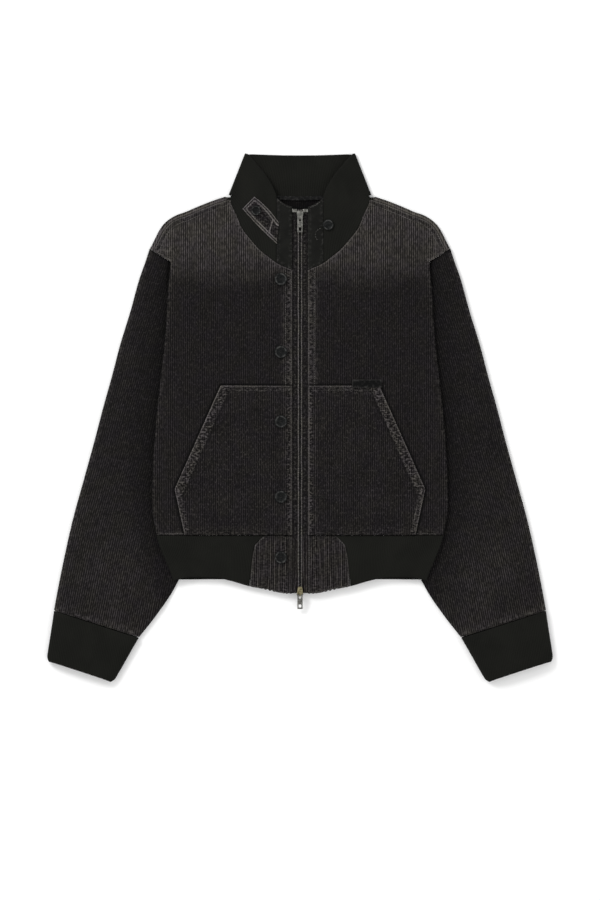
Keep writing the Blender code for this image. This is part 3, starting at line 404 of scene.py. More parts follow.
@dataclass
class Sheet:
    """One piece of cloth: a grid on its outer face, its cut as UV, and its masks."""

    name: str
    points: Array  # rows by columns by 3, mm
    uv: Array  # rows by columns by 2, mm on the cut cloth
    wall: float
    seam: Array  # distance to the nearest sewn seam or worked edge, mm
    fade: Array  # 0 in dark cloth to 1 where it is washed out; below 0 the cloth is darkened as painted shade
    closed: bool = False
    held: str = "laid"
    pucker: Array = field(default_factory=lambda: np.zeros((1, 1)))  # 0 to 1, how puckered: marbled wear on the crests and painted shade in the hollows

    def mirrored(self) -> "Sheet":
        """The same piece on the left, still facing outwards."""
        suffix = self.name.replace("_right", "_left")
        flip = self.points[:, ::-1] * np.array([-1.0, 1.0, 1.0])
        uv = self.uv[:, ::-1] * np.array([-1.0, 1.0]) + np.array([0.0, 700.0])
        return Sheet(suffix, flip, uv, self.wall, self.seam[:, ::-1], self.fade[:, ::-1], self.closed,
                     self.held, np.broadcast_to(self.pucker, self.seam.shape)[:, ::-1])

    def flat(self) -> tuple[float, float, float]:
        """Width, length and area of the cut in metres: its longest row and column, its quads."""
        points = self.points
        if self.closed:
            points = np.concatenate([points, points[:, :1]], axis=1)
        width = np.linalg.norm(np.diff(points, axis=1), axis=2).sum(axis=1).max() * MM
        length = np.linalg.norm(np.diff(points, axis=0), axis=2).sum(axis=0).max() * MM
        one = points[1:, 1:] - points[:-1, :-1]
        two = points[1:, :-1] - points[:-1, 1:]
        area = np.linalg.norm(np.cross(one, two), axis=2).sum() / 2 * MM * MM
        return float(width), float(length), float(min(area, width * length))

    def build(self, material: bpy.types.Material, slot: str, rests_on: list[str]) -> bpy.types.Object:
        """Make the piece: quads over the grid, a wall grown inwards, UV map and masks.

        Args:
            material: its finish.
            slot: the record's material slot, not used.
            rests_on: nodes that carry it, not used.

        Returns:
            The new object.
        """
        rows, columns = self.points.shape[:2]
        index = np.arange(rows * columns).reshape(rows, columns)
        uv = self.uv
        if self.closed:
            index = np.hstack([index, index[:, :1]])
            last = self.uv[:, -1:] + (self.uv[:, -1:] - self.uv[:, -2:-1])
            uv = np.concatenate([uv, last], axis=1)
        quads = np.stack([index[:-1, :-1], index[:-1, 1:], index[1:, 1:], index[1:, :-1]], axis=-1)
        spots = np.stack([uv[:-1, :-1], uv[:-1, 1:], uv[1:, 1:], uv[1:, :-1]], axis=2)
        mesh = bpy.data.meshes.new(self.name)
        mesh.from_pydata(self.points.reshape(-1, 3) * MM, [], quads.reshape(-1, 4))
        layer = mesh.uv_layers.new(name="cloth")
        layer.uv.foreach_set("vector", (spots.reshape(-1) * MM).astype(np.float32))
        pucker = np.broadcast_to(self.pucker, self.seam.shape)
        for title, values in (("seam_mm", self.seam), ("fade", self.fade), ("pucker", pucker)):
            mark = mesh.attributes.new(title, "FLOAT", "POINT")
            mark.data.foreach_set("value", values.reshape(-1).astype(np.float32))
        mesh.shade_smooth()
        mesh.set_sharp_from_angle(angle=math.radians(62.0))
        piece = bpy.data.objects.new(self.name + "_cloth", mesh)
        bpy.context.scene.collection.objects.link(piece)
        mesh.materials.append(material)
        wall = piece.modifiers.new("Wall", "SOLIDIFY")
        wall.thickness = self.wall * MM
        wall.offset = -1.0
        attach(piece, BODY)
        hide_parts(self.name)
        return piece


def rounded_last(count: int, reach: float) -> Array:
    """Fractions 0 to 1 with even steps, then the places of a quarter circle in the last part."""
    angles = np.radians(np.linspace(0.0, 90.0, 9))
    return np.concatenate([np.linspace(0.0, 1.0 - reach, count, endpoint=False),
                           1.0 - reach + reach * np.sin(angles)])


def fade_field(x: Array, y: Array) -> Array:
    """How washed out the body is: full on the shoulders, gone on the chest, with a cloudy edge."""
    edge = 201.0 + 9.0 * drift(x, y, 21, 90.0) + 5.0 * drift(x, y, 22, 26.0)
    edge = edge + 16.0 * bell(x / 62.0)
    yoke = smoothstep((y - edge + 32.0) / 66.0)
    side = 0.10 * smoothstep((np.abs(x) - 150.0) / 50.0)
    return np.clip(yoke + side, 0.0, 1.0)


def inside_pocket(x: Array, y: Array) -> Array:
    """1 where a plan point lies under the right pocket, and 0 elsewhere."""
    corner = FORM.pocket
    slant = corner[1, 0] + (corner[1, 1] - y) * (corner[2, 0] - corner[1, 0]) / (corner[1, 1] - corner[2, 1])
    lower = corner[3, 0] + (y - corner[3, 1]) * (corner[2, 0] - corner[3, 0]) / (corner[2, 1] - corner[3, 1])
    return ((x > corner[0, 0]) & (y < corner[0, 1]) & (x < np.minimum(slant, lower))).astype(float)


@dataclass
class BodyPanels:
    """The two fronts and the whole back."""

    denim: float = 1.6
    rows: int = 200
    columns: int = 84
    shoulder_share: float = 0.46

    def side_path(self, inset: float) -> tuple[Array, Array]:
        """Plan path up the body's side and along the armhole, and the fractions of its rows.

        Args:
            inset: how far the armhole stops short of the shoulder outline.

        Returns:
            The path's points and their fractions of its length.
        """
        start, end = np.array(FORM.armhole[0]), np.array(FORM.armhole[1])
        run = (end - start) / np.linalg.norm(end - start)
        ys = np.linspace(FORM.hem_y, start[1], 80)
        path = np.vstack([np.column_stack([FORM.edge_x(ys), ys]), [end - run * inset]])
        at = np.linspace(0.0, 1.0, self.rows)
        return along(path, at), at

    def front(self) -> Sheet:
        """Right front: a Coons patch between zip, hem, side and neck, at the top's height.

        Its side turns down on a quarter circle to the side seam, its zip edge is a rounded fold,
        and it ripples beside every seam.
        """
        side, at = self.side_path(6.0)
        reach = 7.0 / 190.0
        u = rounded_last(self.columns, reach)
        cut = int(len(u) * (1 - self.shoulder_share))
        neck = FORM.neck_path(11.0, cut + 1)
        part = (u[cut + 1:] - u[cut]) / (1.0 - u[cut])
        seam = FORM.shoulder_at(part, FORM.seam_in + FORM.gap, 0.0)[:, :2]
        top = np.vstack([neck, seam])
        foot_x = FORM.front_edge_x
        left = np.column_stack([np.full(len(at), foot_x),
                                FORM.hem_y + (FORM.neck_base_y - FORM.hem_y) * at])
        bottom = np.column_stack([foot_x + (side[0, 0] - foot_x) * u, np.full(len(u), FORM.hem_y)])
        plan = coons(bottom, top, left, side, u, at)
        x, y = plan[..., 0], plan[..., 1]
        z = FORM.top(x, y)
        short = np.maximum(FORM.edge_x(y) - x, 0.0)
        seam_z = FORM.side_seam_z + FORM.gap
        radius = np.maximum(z - seam_z, 0.8)
        turn = np.sqrt(np.clip(1 - (1 - np.minimum(short / radius, 1.0)) ** 2, 0.0, 1.0))
        rolled = seam_z + (z - seam_z) * turn
        z = np.where(y < 214.0, rolled, z)
        edge = 1.1
        z -= edge * (1 - np.sqrt(np.clip(1 - (1 - np.minimum((x - foot_x) / edge, 1.0)) ** 2, 0, 1)))
        seam_path = np.vstack([FORM.armhole[0], FORM.armhole[1]])
        armhole = path_distance(x, y, seam_path)
        hem = y - FORM.hem_y
        neck_gap = path_distance(x, y, neck)
        roof = path_distance(x, y, seam)
        zip_line = x - foot_x
        z += 0.32 * waves(y, 31, 13.0) * np.exp(-((zip_line - 5.0) / 6.0) ** 2)
        z += 0.30 * waves(x, 32, 9.0) * np.exp(-hem / 7.0) - 0.7 * np.exp(-hem / 1.6)
        z += 0.18 * waves(x + y, 33, 10.0) * np.exp(-roof / 6.0)
        z += 0.25 * waves(x, 34, 8.0) * np.exp(-armhole / 6.0)
        seam_mm = np.minimum.reduce([armhole, hem + 1.5, neck_gap, roof, 0.5 * zip_line, short + 3.0])
        pucker = 0.9 * bell((x - 15.0) / 3.4) + 0.55 * np.exp(-hem / 6.0) + 0.5 * np.exp(-armhole / 9.0)
        pucker = pucker + 0.35 * np.exp(-roof / 6.0)
        beyond = path_distance(x, y, FORM.pocket[:4])
        # painted shadow: a dark line just outside the pocket's outline
        fade = fade_field(x, y) - 1.2 * bell((beyond - 1.2) / 1.9) * (1 - inside_pocket(x, y))
        # a darker band along the shoulder seam, between its two rows of stitching
        fade = fade - 0.9 * bell((roof - 3.6) / 1.3)
        fade = fade + 0.3 * bell((x - 21.6) / 1.6) * (y > 44.0)
        return Sheet("front_right", np.dstack([x, y, z]), np.dstack([x, y]), self.denim, seam_mm,
                     fade, pucker=np.clip(pucker, 0, 1))

    def back(self) -> Sheet:
        """Whole back: flat underneath, rolled up to both side seams and over the shoulders."""
        side, at = self.side_path(FORM.roll)
        start_x = 0.0
        u = rounded_last(64, 4.0 / 190.0)
        cut = int(len(u) * 0.5)
        neck_x = np.linspace(0.0, 95.0, cut + 1)
        strip = 5.2
        neck = np.column_stack([neck_x, read(neck_x, np.array([0.0, 50, 95]),
                                             np.array([FORM.back_neck_y, 305.6, 308.6])) - strip])
        part = (u[cut + 1:] - u[cut]) / (1.0 - u[cut])
        seam = FORM.shoulder_at(part, FORM.roll, 0.0)[:, :2]
        top = np.vstack([neck, seam])
        left = np.column_stack([np.full(len(at), start_x),
                                FORM.hem_y + (FORM.back_neck_y - strip - FORM.hem_y) * at])
        bottom = np.column_stack([side[0, 0] * u, np.full(len(u), FORM.hem_y)])
        plan = coons(bottom, top, left, side, u, at)
        x, y = plan[..., 0], plan[..., 1]
        z = FORM.lift(x, y)
        radius = 2.4
        short = np.minimum(np.maximum(FORM.edge_x(y) - x, 0.0) / radius, 1.0)
        turn = radius * (1 - np.sqrt(np.clip(1 - (1 - short) ** 2, 0.0, 1.0)))
        z = z + np.where(y < 214.0, turn, 0.0)
        arch = sum(crease.rise(x, y) for crease in BACK_CREASES)
        calm = smoothstep((FORM.edge_x(y) - x - 3.0) / 14.0) * smoothstep((y - FORM.hem_y) / 16.0)
        z = z + np.maximum(arch, 0.0) * calm * smoothstep((300.0 - y) / 20.0)
        half = [np.dstack([x, y, z])]
        for angle in np.radians(np.linspace(15.0, 180.0, 12)):
            flat = np.column_stack([neck, np.zeros(len(neck))])
            flat[:, 1] += strip * angle / math.pi
            inset = FORM.roll * (1 - math.sin(angle))
            curl = FORM.shoulder_at(part, inset, FORM.roll * (1 - math.cos(angle)))
            half.append(np.vstack([flat, curl])[None])
        last = FORM.shoulder_at(part, FORM.seam_in, 2 * FORM.roll)
        half.append(np.vstack([np.column_stack([neck[:, 0], neck[:, 1] + strip, 0 * neck_x]), last])[None])
        grid = np.concatenate(half, axis=0)
        run = np.concatenate([[0.0], np.cumsum(np.linalg.norm(np.diff(grid, axis=0), axis=2).mean(1))])
        uv = np.dstack([grid[..., 0], np.broadcast_to(FORM.hem_y + run[:, None], grid.shape[:2])])
        px, py = grid[..., 0], grid[..., 1]
        seam_mm = np.minimum.reduce([
            np.maximum(py - FORM.hem_y, 0.0), path_distance(px, py, top),
            path_distance(px, py, np.vstack([FORM.armhole[0], FORM.armhole[1]]))])
        within = smoothstep((72.0 - px) / 14.0) * smoothstep((py - 280.0) / 12.0)
        seam_mm = seam_mm + 20.0 * within
        # inside the neck opening the wash is taken off and fade goes below 0: painted shade under the collar
        fade = fade_field(px, py) * (1 - within) - 0.7 * within
        parts = [np.concatenate([grid[:, ::-1], (grid * np.array([-1.0, 1, 1]))[:, 1:]], axis=1),
                 np.concatenate([uv[:, ::-1], (uv * np.array([-1.0, 1]))[:, 1:]], axis=1),
                 np.concatenate([seam_mm[:, ::-1], seam_mm[:, 1:]], axis=1),
                 np.concatenate([fade[:, ::-1], fade[:, 1:]], axis=1)]
        return Sheet("back", parts[0], parts[1], self.denim, parts[2], parts[3])


BACK_CREASES: tuple[Crease, ...] = (
    Crease(60, 200, 76, 130, 12.0, 1.5, 5.0),
    Crease(112, 170, 104, 120, 10.0, 1.1, -4.0),
    Crease(36, 90, 96, 150, 12.0, 1.2, 5.0),
    Crease(88, 40, 78, 140, 14.0, 1.5, -6.0),
    Crease(50, -60, 98, 120, 10.0, 1.0, 3.0),
    Crease(104, -90, 84, 110, 12.0, 1.3, 5.0),
    Crease(20, -120, 88, 70, 8.0, 0.9, 2.0),
)


@dataclass
class Sleeves:
    """Upper and lower halves of both sleeves, and the rib cuffs."""

    denim: float = 1.6
    rib: float = 2.4
    outer_seam_z: float = 4.0
    inner_seam_z: float = 2.5
    sections: dict[str, Array] = field(default_factory=lambda: table(
        "outer_x outer_y inner_x inner_y height outer_round inner_round", [
            (210, 235.5, 181.5, 216.5, 8.0, 4.0, 2.4),
            (216, 217, 168, 200, 9.0, 7.0, 2.4),
            (224, 194.6, 156, 178, 10.5, 12.0, 2.4),
            (237, 148, 145, 140, 12.0, 20.0, 2.4),
            (251.6, 100.5, 139, 95, 13.5, 26.0, 2.4),
            (263, 57, 137, 50, 14.0, 30.0, 2.4),
            (275, 14, 136, 2, 14.0, 32.0, 2.4),
            (287, -32, 133.5, -62, 14.0, 34.0, 2.4),
            (302.4, -88, 139, -128, 13.8, 34.0, 2.4),
            (317.8, -144, 152, -186, 13.4, 34.0, 3.0),
            (330.4, -200, 176, -240, 13.0, 32.0, 12.0),
            (338.8, -242, 203, -280, 12.4, 26.0, 22.0),
            (344, -270, 224.7, -307.5, 11.6, 18.0, 18.0)]))
    cuff: tuple[tuple[float, float, float, float], ...] = (
        (343.4, -270.2, 225.4, -307.9), (352.3, -340.0, 262.3, -369.4))
    cuff_height: float = 11.0
    creases: tuple[Crease, ...] = (
        Crease(226, 150, 104, 90, 7.0, 0.7, 3.0),
        Crease(236, 60, 100, 120, 8.0, 0.6, -3.0),
        Crease(262, 20, 112, 90, 8.0, -0.6, 3.0),
        Crease(262, -40, 98, 130, 9.0, 0.7, 5.0),
        Crease(284, -96, 120, 70, 8.0, -0.7, 4.0),
        Crease(246, -120, 86, 110, 9.0, 0.7, -4.0),
        Crease(300, -160, 102, 100, 8.0, 0.6, 3.0),
        Crease(232, -190, 70, 90, 8.0, 0.7, 4.0),
        Crease(262, -226, 124, 80, 7.0, -0.8, -4.0),
        Crease(312, -236, 98, 60, 6.0, 0.8, 2.0),
        Crease(284, -262, 110, 50, 5.0, 0.9, 2.0),
        Crease(252, -278, 118, 46, 5.0, 0.8, -2.0),
        Crease(240, -252, 140, 60, 5.0, -0.7, 2.0),
        Crease(328, -258, 104, 34, 4.0, -0.7, 1.0),
    )

    def ruled(self, offsets: Array, rows: int) -> tuple[Array, Array, dict[str, Array]]:
        """Plan points across every section, at offsets from its outer edge.

        Args:
            offsets: rows by columns, fraction of each section's width.
            rows: how many sections along the sleeve.

        Returns:
            Plan points, widths of the sections, and their other columns.
        """
        table_run = lengths(np.column_stack([self.sections["outer_x"], self.sections["outer_y"]]))
        at = np.linspace(0.0, 1.0, rows) * table_run[-1]
        part = {name: read(at, table_run, values) for name, values in self.sections.items()}
        outer = np.column_stack([part["outer_x"], part["outer_y"]])
        inner = np.column_stack([part["inner_x"], part["inner_y"]])
        start, end = np.array(FORM.armhole[0]), np.array(FORM.armhole[1])
        run = (end - start) / np.linalg.norm(end - start)
        shift = np.array([run[1], -run[0]]) * 2 * FORM.gap
        outer = outer + shift * np.clip(1 - np.arange(rows)[:, None] / (rows * 0.2), 0.0, 1.0)
        width = np.linalg.norm(inner - outer, axis=1)
        plan = outer[:, None] + (inner - outer)[:, None] * offsets[..., None]
        part["at"] = at
        return plan, width, part

    def top(self) -> Sheet:
        """Upper half of the right sleeve: quarter ellipses at both edges, pressed down by the body.

        The crown's height rises with the square root of one less the squared part of its rounding
        that is left, and nowhere passes a ramp that starts where the body covers the sleeve.
        """
        rows, columns = 190, 74
        ramp = np.radians(np.linspace(0, 90, 14))
        t = np.concatenate([[0.0], 0.14 * (1 - np.cos(ramp[1:])), np.linspace(0.16, 0.94, columns),
                            0.94 + 0.06 * np.sin(ramp[3::2])])
        plan, width, part = self.ruled(np.broadcast_to(t, (rows, len(t))), rows)
        x, y = plan[..., 0], plan[..., 1]
        offset = t[None] * width[:, None]
        foot = self.outer_seam_z + FORM.gap / 2
        outer = np.minimum(offset / part["outer_round"][:, None], 1.0)
        crown = foot + (part["height"][:, None] - foot) * np.sqrt(1 - (1 - outer) ** 2)
        slope = 0.35 + 0.85 * smoothstep((y - 165.0) / 45.0)
        clear = 2.0 + 3.0 * smoothstep((FORM.hem_y - y) / 40.0)
        free = FORM.under_body + slope * np.maximum(x - FORM.edge_x(y) - clear, 0.0)
        z = crown * free / np.power(crown ** 7 + free ** 7, 1 / 7)
        z = np.where(free > 3 * crown, crown, z)
        last = width[:, None] - offset
        inner = np.minimum(last / part["inner_round"][:, None], 1.0)
        seam_z = self.inner_seam_z + FORM.gap
        z = seam_z + (z - seam_z) * np.sqrt(np.clip(1 - (1 - inner) ** 2, 0.0, 1.0))
        open_part = smoothstep((x - FORM.edge_x(y) - 6.0) / 16.0) * smoothstep(offset / 14.0)
        open_part *= smoothstep(last / 14.0)
        run = part["at"][-1] - part["at"][:, None]
        rise = sum(crease.rise(x, y) for crease in self.creases)
        rise = rise + 0.5 * drift(x, y, 41, 70.0) + 0.2 * drift(x, y, 42, 26.0)
        rise = rise * smoothstep(run / 18.0) * smoothstep((part["at"][:, None] - 4.0) / 24.0)
        rise = rise + 0.5 * waves(offset, 43, 12.0) * np.exp(-run / 12.0)
        z = z + rise * open_part - 0.5 * np.exp(-run / 1.6)
        u = np.broadcast_to(150.0 - offset, x.shape)
        v = np.broadcast_to(-part["at"][:, None], x.shape)
        seam_mm = np.minimum.reduce([np.broadcast_to(run, x.shape), offset + 2.0,
                                     np.broadcast_to(part["at"][:, None] + 9.0, x.shape)])
        fade = 0.10 + 0.34 * smoothstep((part["at"][:, None] - 270.0) / 170.0) * (0.7 + 0.3 * drift(
            x, y, 44, 60.0))
        # darker towards the armhole, with a thin dark line along it: painted shade
        fade = fade - 0.1 * smoothstep((40.0 - part["at"][:, None]) / 40.0)
        fade = fade - 0.8 * np.exp(-part["at"][:, None] / 2.0)
        # darker beside the body's edge: painted shadow of the body, partly unwashed cloth
        fade = fade - 0.5 * bell(np.maximum(x - FORM.edge_x(y) - 2.0, 0.0) / 22.0)
        fade = fade + 0.3 * np.exp(-run / 7.0)
        points = np.dstack([x, y, z])[::-1, ::-1]
        return Sheet("sleeve_top_right", points, np.dstack([u, v])[::-1, ::-1], self.denim,
                     seam_mm[::-1, ::-1], np.clip(np.broadcast_to(fade, x.shape), -1, 1)[::-1, ::-1])

    def under(self) -> Sheet:
        """Lower half of the right sleeve: flat below, both edges turned up on quarter circles."""
        rows, columns = 110, 44
        ramp = np.radians(np.linspace(0, 90, 8))
        edge = 0.03
        t = np.concatenate([edge * (1 - np.cos(ramp)), np.linspace(edge, 1 - edge, columns)[1:-1],
                            1 - edge + edge * np.sin(ramp)])
        plan, width, part = self.ruled(np.broadcast_to(t, (rows, len(t))), rows)
        x, y = plan[..., 0], plan[..., 1]
        offset = t[None] * width[:, None]
        rise = np.zeros_like(x)
        for from_edge, height in ((offset, self.outer_seam_z - FORM.gap / 2),
                                  (width[:, None] - offset, self.inner_seam_z - FORM.gap)):
            near = np.minimum(from_edge / height, 1.0)
            rise = rise + height * (1 - np.sqrt(np.clip(1 - (1 - near) ** 2, 0.0, 1.0)))
        u = np.broadcast_to(350.0 + offset, x.shape)
        v = np.broadcast_to(-part["at"][:, None], x.shape)
        run = part["at"][-1] - part["at"][:, None]
        seam_mm = np.minimum(np.broadcast_to(run, x.shape), offset + 2.0)
        fade = np.full(x.shape, 0.16) + 0.05 * drift(x, y, 45, 60.0)
        points = np.dstack([x, y, rise])
        return Sheet("sleeve_under_right", points[::-1], np.dstack([u, v])[::-1], self.denim,
                     seam_mm[::-1], fade[::-1])

    def cuff_sheet(self) -> Sheet:
        """Right cuff: a flattened rib tube, its profile two half circles and two faces."""
        rows = 40
        around = 132
        start, end = (np.array(row) for row in self.cuff)
        seam = (end - start)[:2] / np.linalg.norm((end - start)[:2]) * 2 * FORM.gap
        at = np.linspace(0.0, 1.0, rows)[:, None]
        outer = start[:2] + seam + (end[:2] - start[:2] - seam) * at
        inner = start[2:] + seam + (end[2:] - start[2:] - seam) * at
        middle = (outer + inner) / 2
        run = (inner - outer) / 2
        half = np.linalg.norm(run, axis=1)
        run = run / half[:, None]
        half = half - 3.0 * np.clip((at[:, 0] - 0.9) / 0.1, 0.0, 1.0) ** 2
        half = half - 0.6 - 1.5 * smoothstep(1.0 - at[:, 0])
        height = self.cuff_height + 0.6 * (1 - at[:, 0])
        turn = np.linspace(0.0, 2 * math.pi, 721)
        ring_x = np.sign(np.cos(turn)) * np.abs(np.cos(turn)) ** 0.5
        ring_z = np.sign(np.sin(turn)) * np.abs(np.sin(turn)) ** 0.9
        shape = np.column_stack([ring_x * 9.0, ring_z])
        even = along(shape, np.linspace(0.0, 1.0, around + 1)[:-1])
        across, up = -even[:, 0] / 9.0, even[:, 1]
        flat_part = np.clip(1 - np.abs(across) ** 4, 0.0, 1.0)
        z = height[:, None] * (0.5 + 0.5 * up[None]) + 0.8 * flat_part * (up > 0)
        bottom = np.where(up < 0, (height[:, None] * 0.5) * (1 - np.abs(up)[None] ** 0.5), z)
        z = np.where(up < 0, bottom, z)
        xy = middle[:, None] + run[:, None] * (half[:, None] * across[None])[..., None]
        z = z + 0.12 * waves(across * 60.0, 51, 14.0)[None] * (up > 0.3)
        run_mm = np.linalg.norm(end[:2] - start[:2]) * at
        girth = half[:, None] * 4.0 + 10.0
        u = np.linspace(0.0, 1.0, around + 1)[None, :-1] * girth
        v = np.broadcast_to(-run_mm, u.shape)
        seam_mm = np.minimum(np.broadcast_to(run_mm, u.shape), np.broadcast_to(run_mm[::-1], u.shape) + 2)
        points = np.dstack([xy[..., 0], xy[..., 1], z])
        order = slice(None, None, -1)
        return Sheet("cuff_right", points[order], np.dstack([u, v])[order], self.rib, seam_mm[order],
                     np.zeros(u.shape), closed=True)


@dataclass
class RibPieces:
    """Collar, hem band, the gathered hem pieces and the smooth pieces of the collar."""

    rib: float = 2.4
    denim: float = 1.6
    collar_top: dict[str, Array] = field(default_factory=lambda: table("x y", [
        (32.8, 308), (36, 317), (42, 328.3), (50, 340.5), (58.8, 351.2), (66, 359.9), (71.5, 365.6)]))
    folds: dict[str, Array] = field(default_factory=lambda: table("x width lift", [
        (14.6, 1.8, 1.1), (20.5, 2.6, 1.7), (27.0, 2.8, 1.5), (33.5, 3.4, 1.3), (40.0, 2.6, 1.6),
        (47.5, 3.4, 0.9), (54.5, 3.0, 1.2), (61.0, 3.0, 0.8)]))

    def columns(self, low: Array, high: Array, at: Array) -> Array:
        """Points between both ends of each column, by straight lines."""
        return low[None] + (high - low)[None] * at[:, None, None]

    def collar(self) -> Sheet:
        """Rib collar: front, half-circle side fold and back, mirrored over the centre back."""
        at = np.linspace(0.0, 1.0, 34)
        foot = FORM.neck_path(32.6, 40) + np.array([-0.35, 0.45])
        foot[0, 0] = self.collar_top["x"][0]
        front = self.columns(foot, smooth_path(self.collar_top, np.linspace(0, 1, 40)), at)
        fx, fy = front[..., 0], front[..., 1]
        z = FORM.plain_top(fx, fy)
        z = z + 0.5 * drift(fx, fy, 61, 60.0) * smoothstep(at[:, None] / 0.2)
        inner = np.minimum(path_distance(fx, fy, front[:, 0]), path_distance(fx, fy, front[-1]))
        z = z - 0.9 * np.exp(-inner / 1.4)
        front = np.dstack([front, z])
        low, high = np.array(FORM.collar_foot), np.array(FORM.collar_corner)
        fold = []
        for turn in np.radians(np.linspace(180, 0, 13)):
            reach = FORM.roll * (1 - math.sin(turn))
            column = self.columns((low - (reach, 0))[None], (high - (reach, reach * 0.3))[None], at)
            fold.append(np.dstack([column, np.full(column.shape[:2], FORM.roll * (1 - math.cos(turn)))]))
        part = np.linspace(0.0, 1.0, 30)
        foot_at, top_at = np.array([(86, 309.2), (60, 307.0), (30, 305.0), (0, 304.6)]), np.array(
            [(66, 367.5), (44, 366.6), (22, 366.0), (0, 365.9)])
        back = self.columns(along(foot_at, part), along(top_at, part), at)
        bx, by = back[..., 0], back[..., 1]
        lift = np.maximum(0.5 * drift(bx, by, 62, 50.0), 0.0) * smoothstep(np.abs(at[:, None] - 0.5) * -2 + 1)
        back = np.dstack([back, lift])
        half = np.concatenate([front] + fold + [back], axis=1)
        run = np.concatenate([[0.0], np.cumsum(np.linalg.norm(np.diff(half[len(at) // 2], axis=0), axis=1))])
        u = np.broadcast_to(run, half.shape[:2])
        v = np.broadcast_to(at[:, None] * 60.0, half.shape[:2])
        grid = np.concatenate([half, (half[:, ::-1] * np.array([-1.0, 1, 1]))[:, 1:]], axis=1)
        uv = np.concatenate([np.dstack([u, v]), np.dstack([2 * run[-1] - u, v])[:, ::-1][:, 1:]], axis=1)
        edge = np.minimum(np.broadcast_to(at[:, None] * 60.0, grid.shape[:2]), 40.0)
        return Sheet("collar", grid, uv, self.rib, edge, np.zeros(grid.shape[:2]), held="folded")

    def collar_front(self) -> Sheet:
        """Smooth piece beside the zip at the right end of the collar, its free end slanted."""
        part = np.linspace(0.0, 1.0, 24)
        at = np.linspace(0.0, 1.0, 96)
        reach = self.collar_top["x"][0] - FORM.gap
        x = FORM.front_edge_x + (reach - FORM.front_edge_x) * part
        foot = np.column_stack([x, FORM.neck_y(x) + 0.6])
        plan = self.columns(foot, np.column_stack([x, 293.0 + 12.5 * part ** 1.6]), at)
        px, py = plan[..., 0], plan[..., 1]
        z = FORM.plain_top(px, py)
        side = np.minimum(px - FORM.front_edge_x, reach - px)
        ends = np.minimum(path_distance(px, py, foot), path_distance(px, py, plan[-1]))
        z = z - 0.9 * np.exp(-side / 0.8) - 0.7 * np.exp(-ends / 1.2)
        z = z + 0.22 * waves(py, 63, 12.0) * np.exp(-side / 5.0) + 0.2 * drift(px, py, 64, 30.0)
        return Sheet("collar_front_right", np.dstack([plan, z]), plan, self.denim, np.minimum(side, ends),
                     np.full(z.shape, 0.35))

    def hem_band(self) -> Sheet:
        """Rib band: front, rounded side fold and back, mirrored over the centre back."""
        at = np.linspace(0.0, 1.0, 36)
        grid = []
        for down in at:
            edge = float(FORM.edge_x(np.array([FORM.hem_y - 63.0 * max(down - 0.03, 0.0) / 0.97]))[0])
            start = float(FORM.tab_edge(np.array([down]))[0]) + FORM.gap
            low = FORM.back_lift + 0.5 * down
            high = float(FORM.hem_top(np.array([edge]), np.array([FORM.hem_y - 63.0 * down]))[0])
            radius = (high - low) / 2
            x = start + (edge - radius - start) * np.linspace(0.0, 1.0, 64)
            top_y = FORM.hem_y - 2 * FORM.gap
            y = top_y + (FORM.hem_edge(x) - top_y) * down
            front = np.column_stack([x, y, FORM.hem_top(x, y)])
            turn = np.radians(np.linspace(170, 0, 12))
            corner = -226.0 - 3.0 * down
            fold = np.column_stack([edge - radius + radius * np.sin(turn),
                                    np.full(12, top_y + (corner + 1.6 - FORM.hem_y) * down),
                                    low + radius * (1 - np.cos(turn))])
            bx = (edge - radius) * np.linspace(0.985, 0.0, 52)
            by = np.full(52, top_y + (corner + 2.6 - FORM.hem_y) * down)
            back = np.column_stack([bx, by, FORM.lift(bx, np.maximum(by, -200.0))])
            grid.append(np.vstack([front, fold, back]))
        half = np.array(grid)
        edge_mm = np.minimum(at[:, None] * 62.0, (1 - at[:, None]) * 62.0)
        roll = 0.7 * np.exp(-edge_mm / 1.5)
        front_part = np.zeros(half.shape[1])
        front_part[:64] = 1.0
        half[..., 2] -= roll * front_part[None]
        half[..., 2] += (0.22 * drift(half[..., 0], half[..., 1], 65, 40.0) * front_part
                         * smoothstep(edge_mm / 8))
        run = np.concatenate([[0.0], np.cumsum(np.linalg.norm(np.diff(half[12], axis=0), axis=1))])
        u = np.broadcast_to(run, half.shape[:2])
        v = np.broadcast_to(-at[:, None] * 62.0, half.shape[:2])
        half, u, v = half[::-1], u[::-1], v[::-1]
        grid = np.concatenate([half, (half[:, ::-1] * np.array([-1.0, 1, 1]))[:, 1:]], axis=1)
        uv = np.concatenate([np.dstack([u, v]), np.dstack([2 * run[-1] - u, v])[:, ::-1][:, 1:]], axis=1)
        seam_mm = np.broadcast_to((at * 62.0)[::-1, None], grid.shape[:2])
        return Sheet("hem_rib", grid, uv, self.rib, seam_mm, np.zeros(grid.shape[:2]), held="folded")

    def gathers(self, x: Array, down: Array) -> Array:
        """Upright folds of the gathered piece: bells across that lean and open out downwards."""
        total = np.zeros_like(x)
        rows = zip(self.folds["x"], self.folds["width"], self.folds["lift"])
        for number, (centre, width, lift) in enumerate(rows):
            lean = centre * (1.0 + 0.1 * down) + 1.1 * np.sin(down * 5.0 + number * 2.1)
            fade = smoothstep((down + 0.02) / 0.16) * (1 - 0.35 * down * (number % 2))
            total = total + lift * bell((x - lean) / (0.5 * width)) * fade
            total = total - 0.35 * lift * bell((x - lean - 0.62 * width) / (0.34 * width)) * fade
        return total

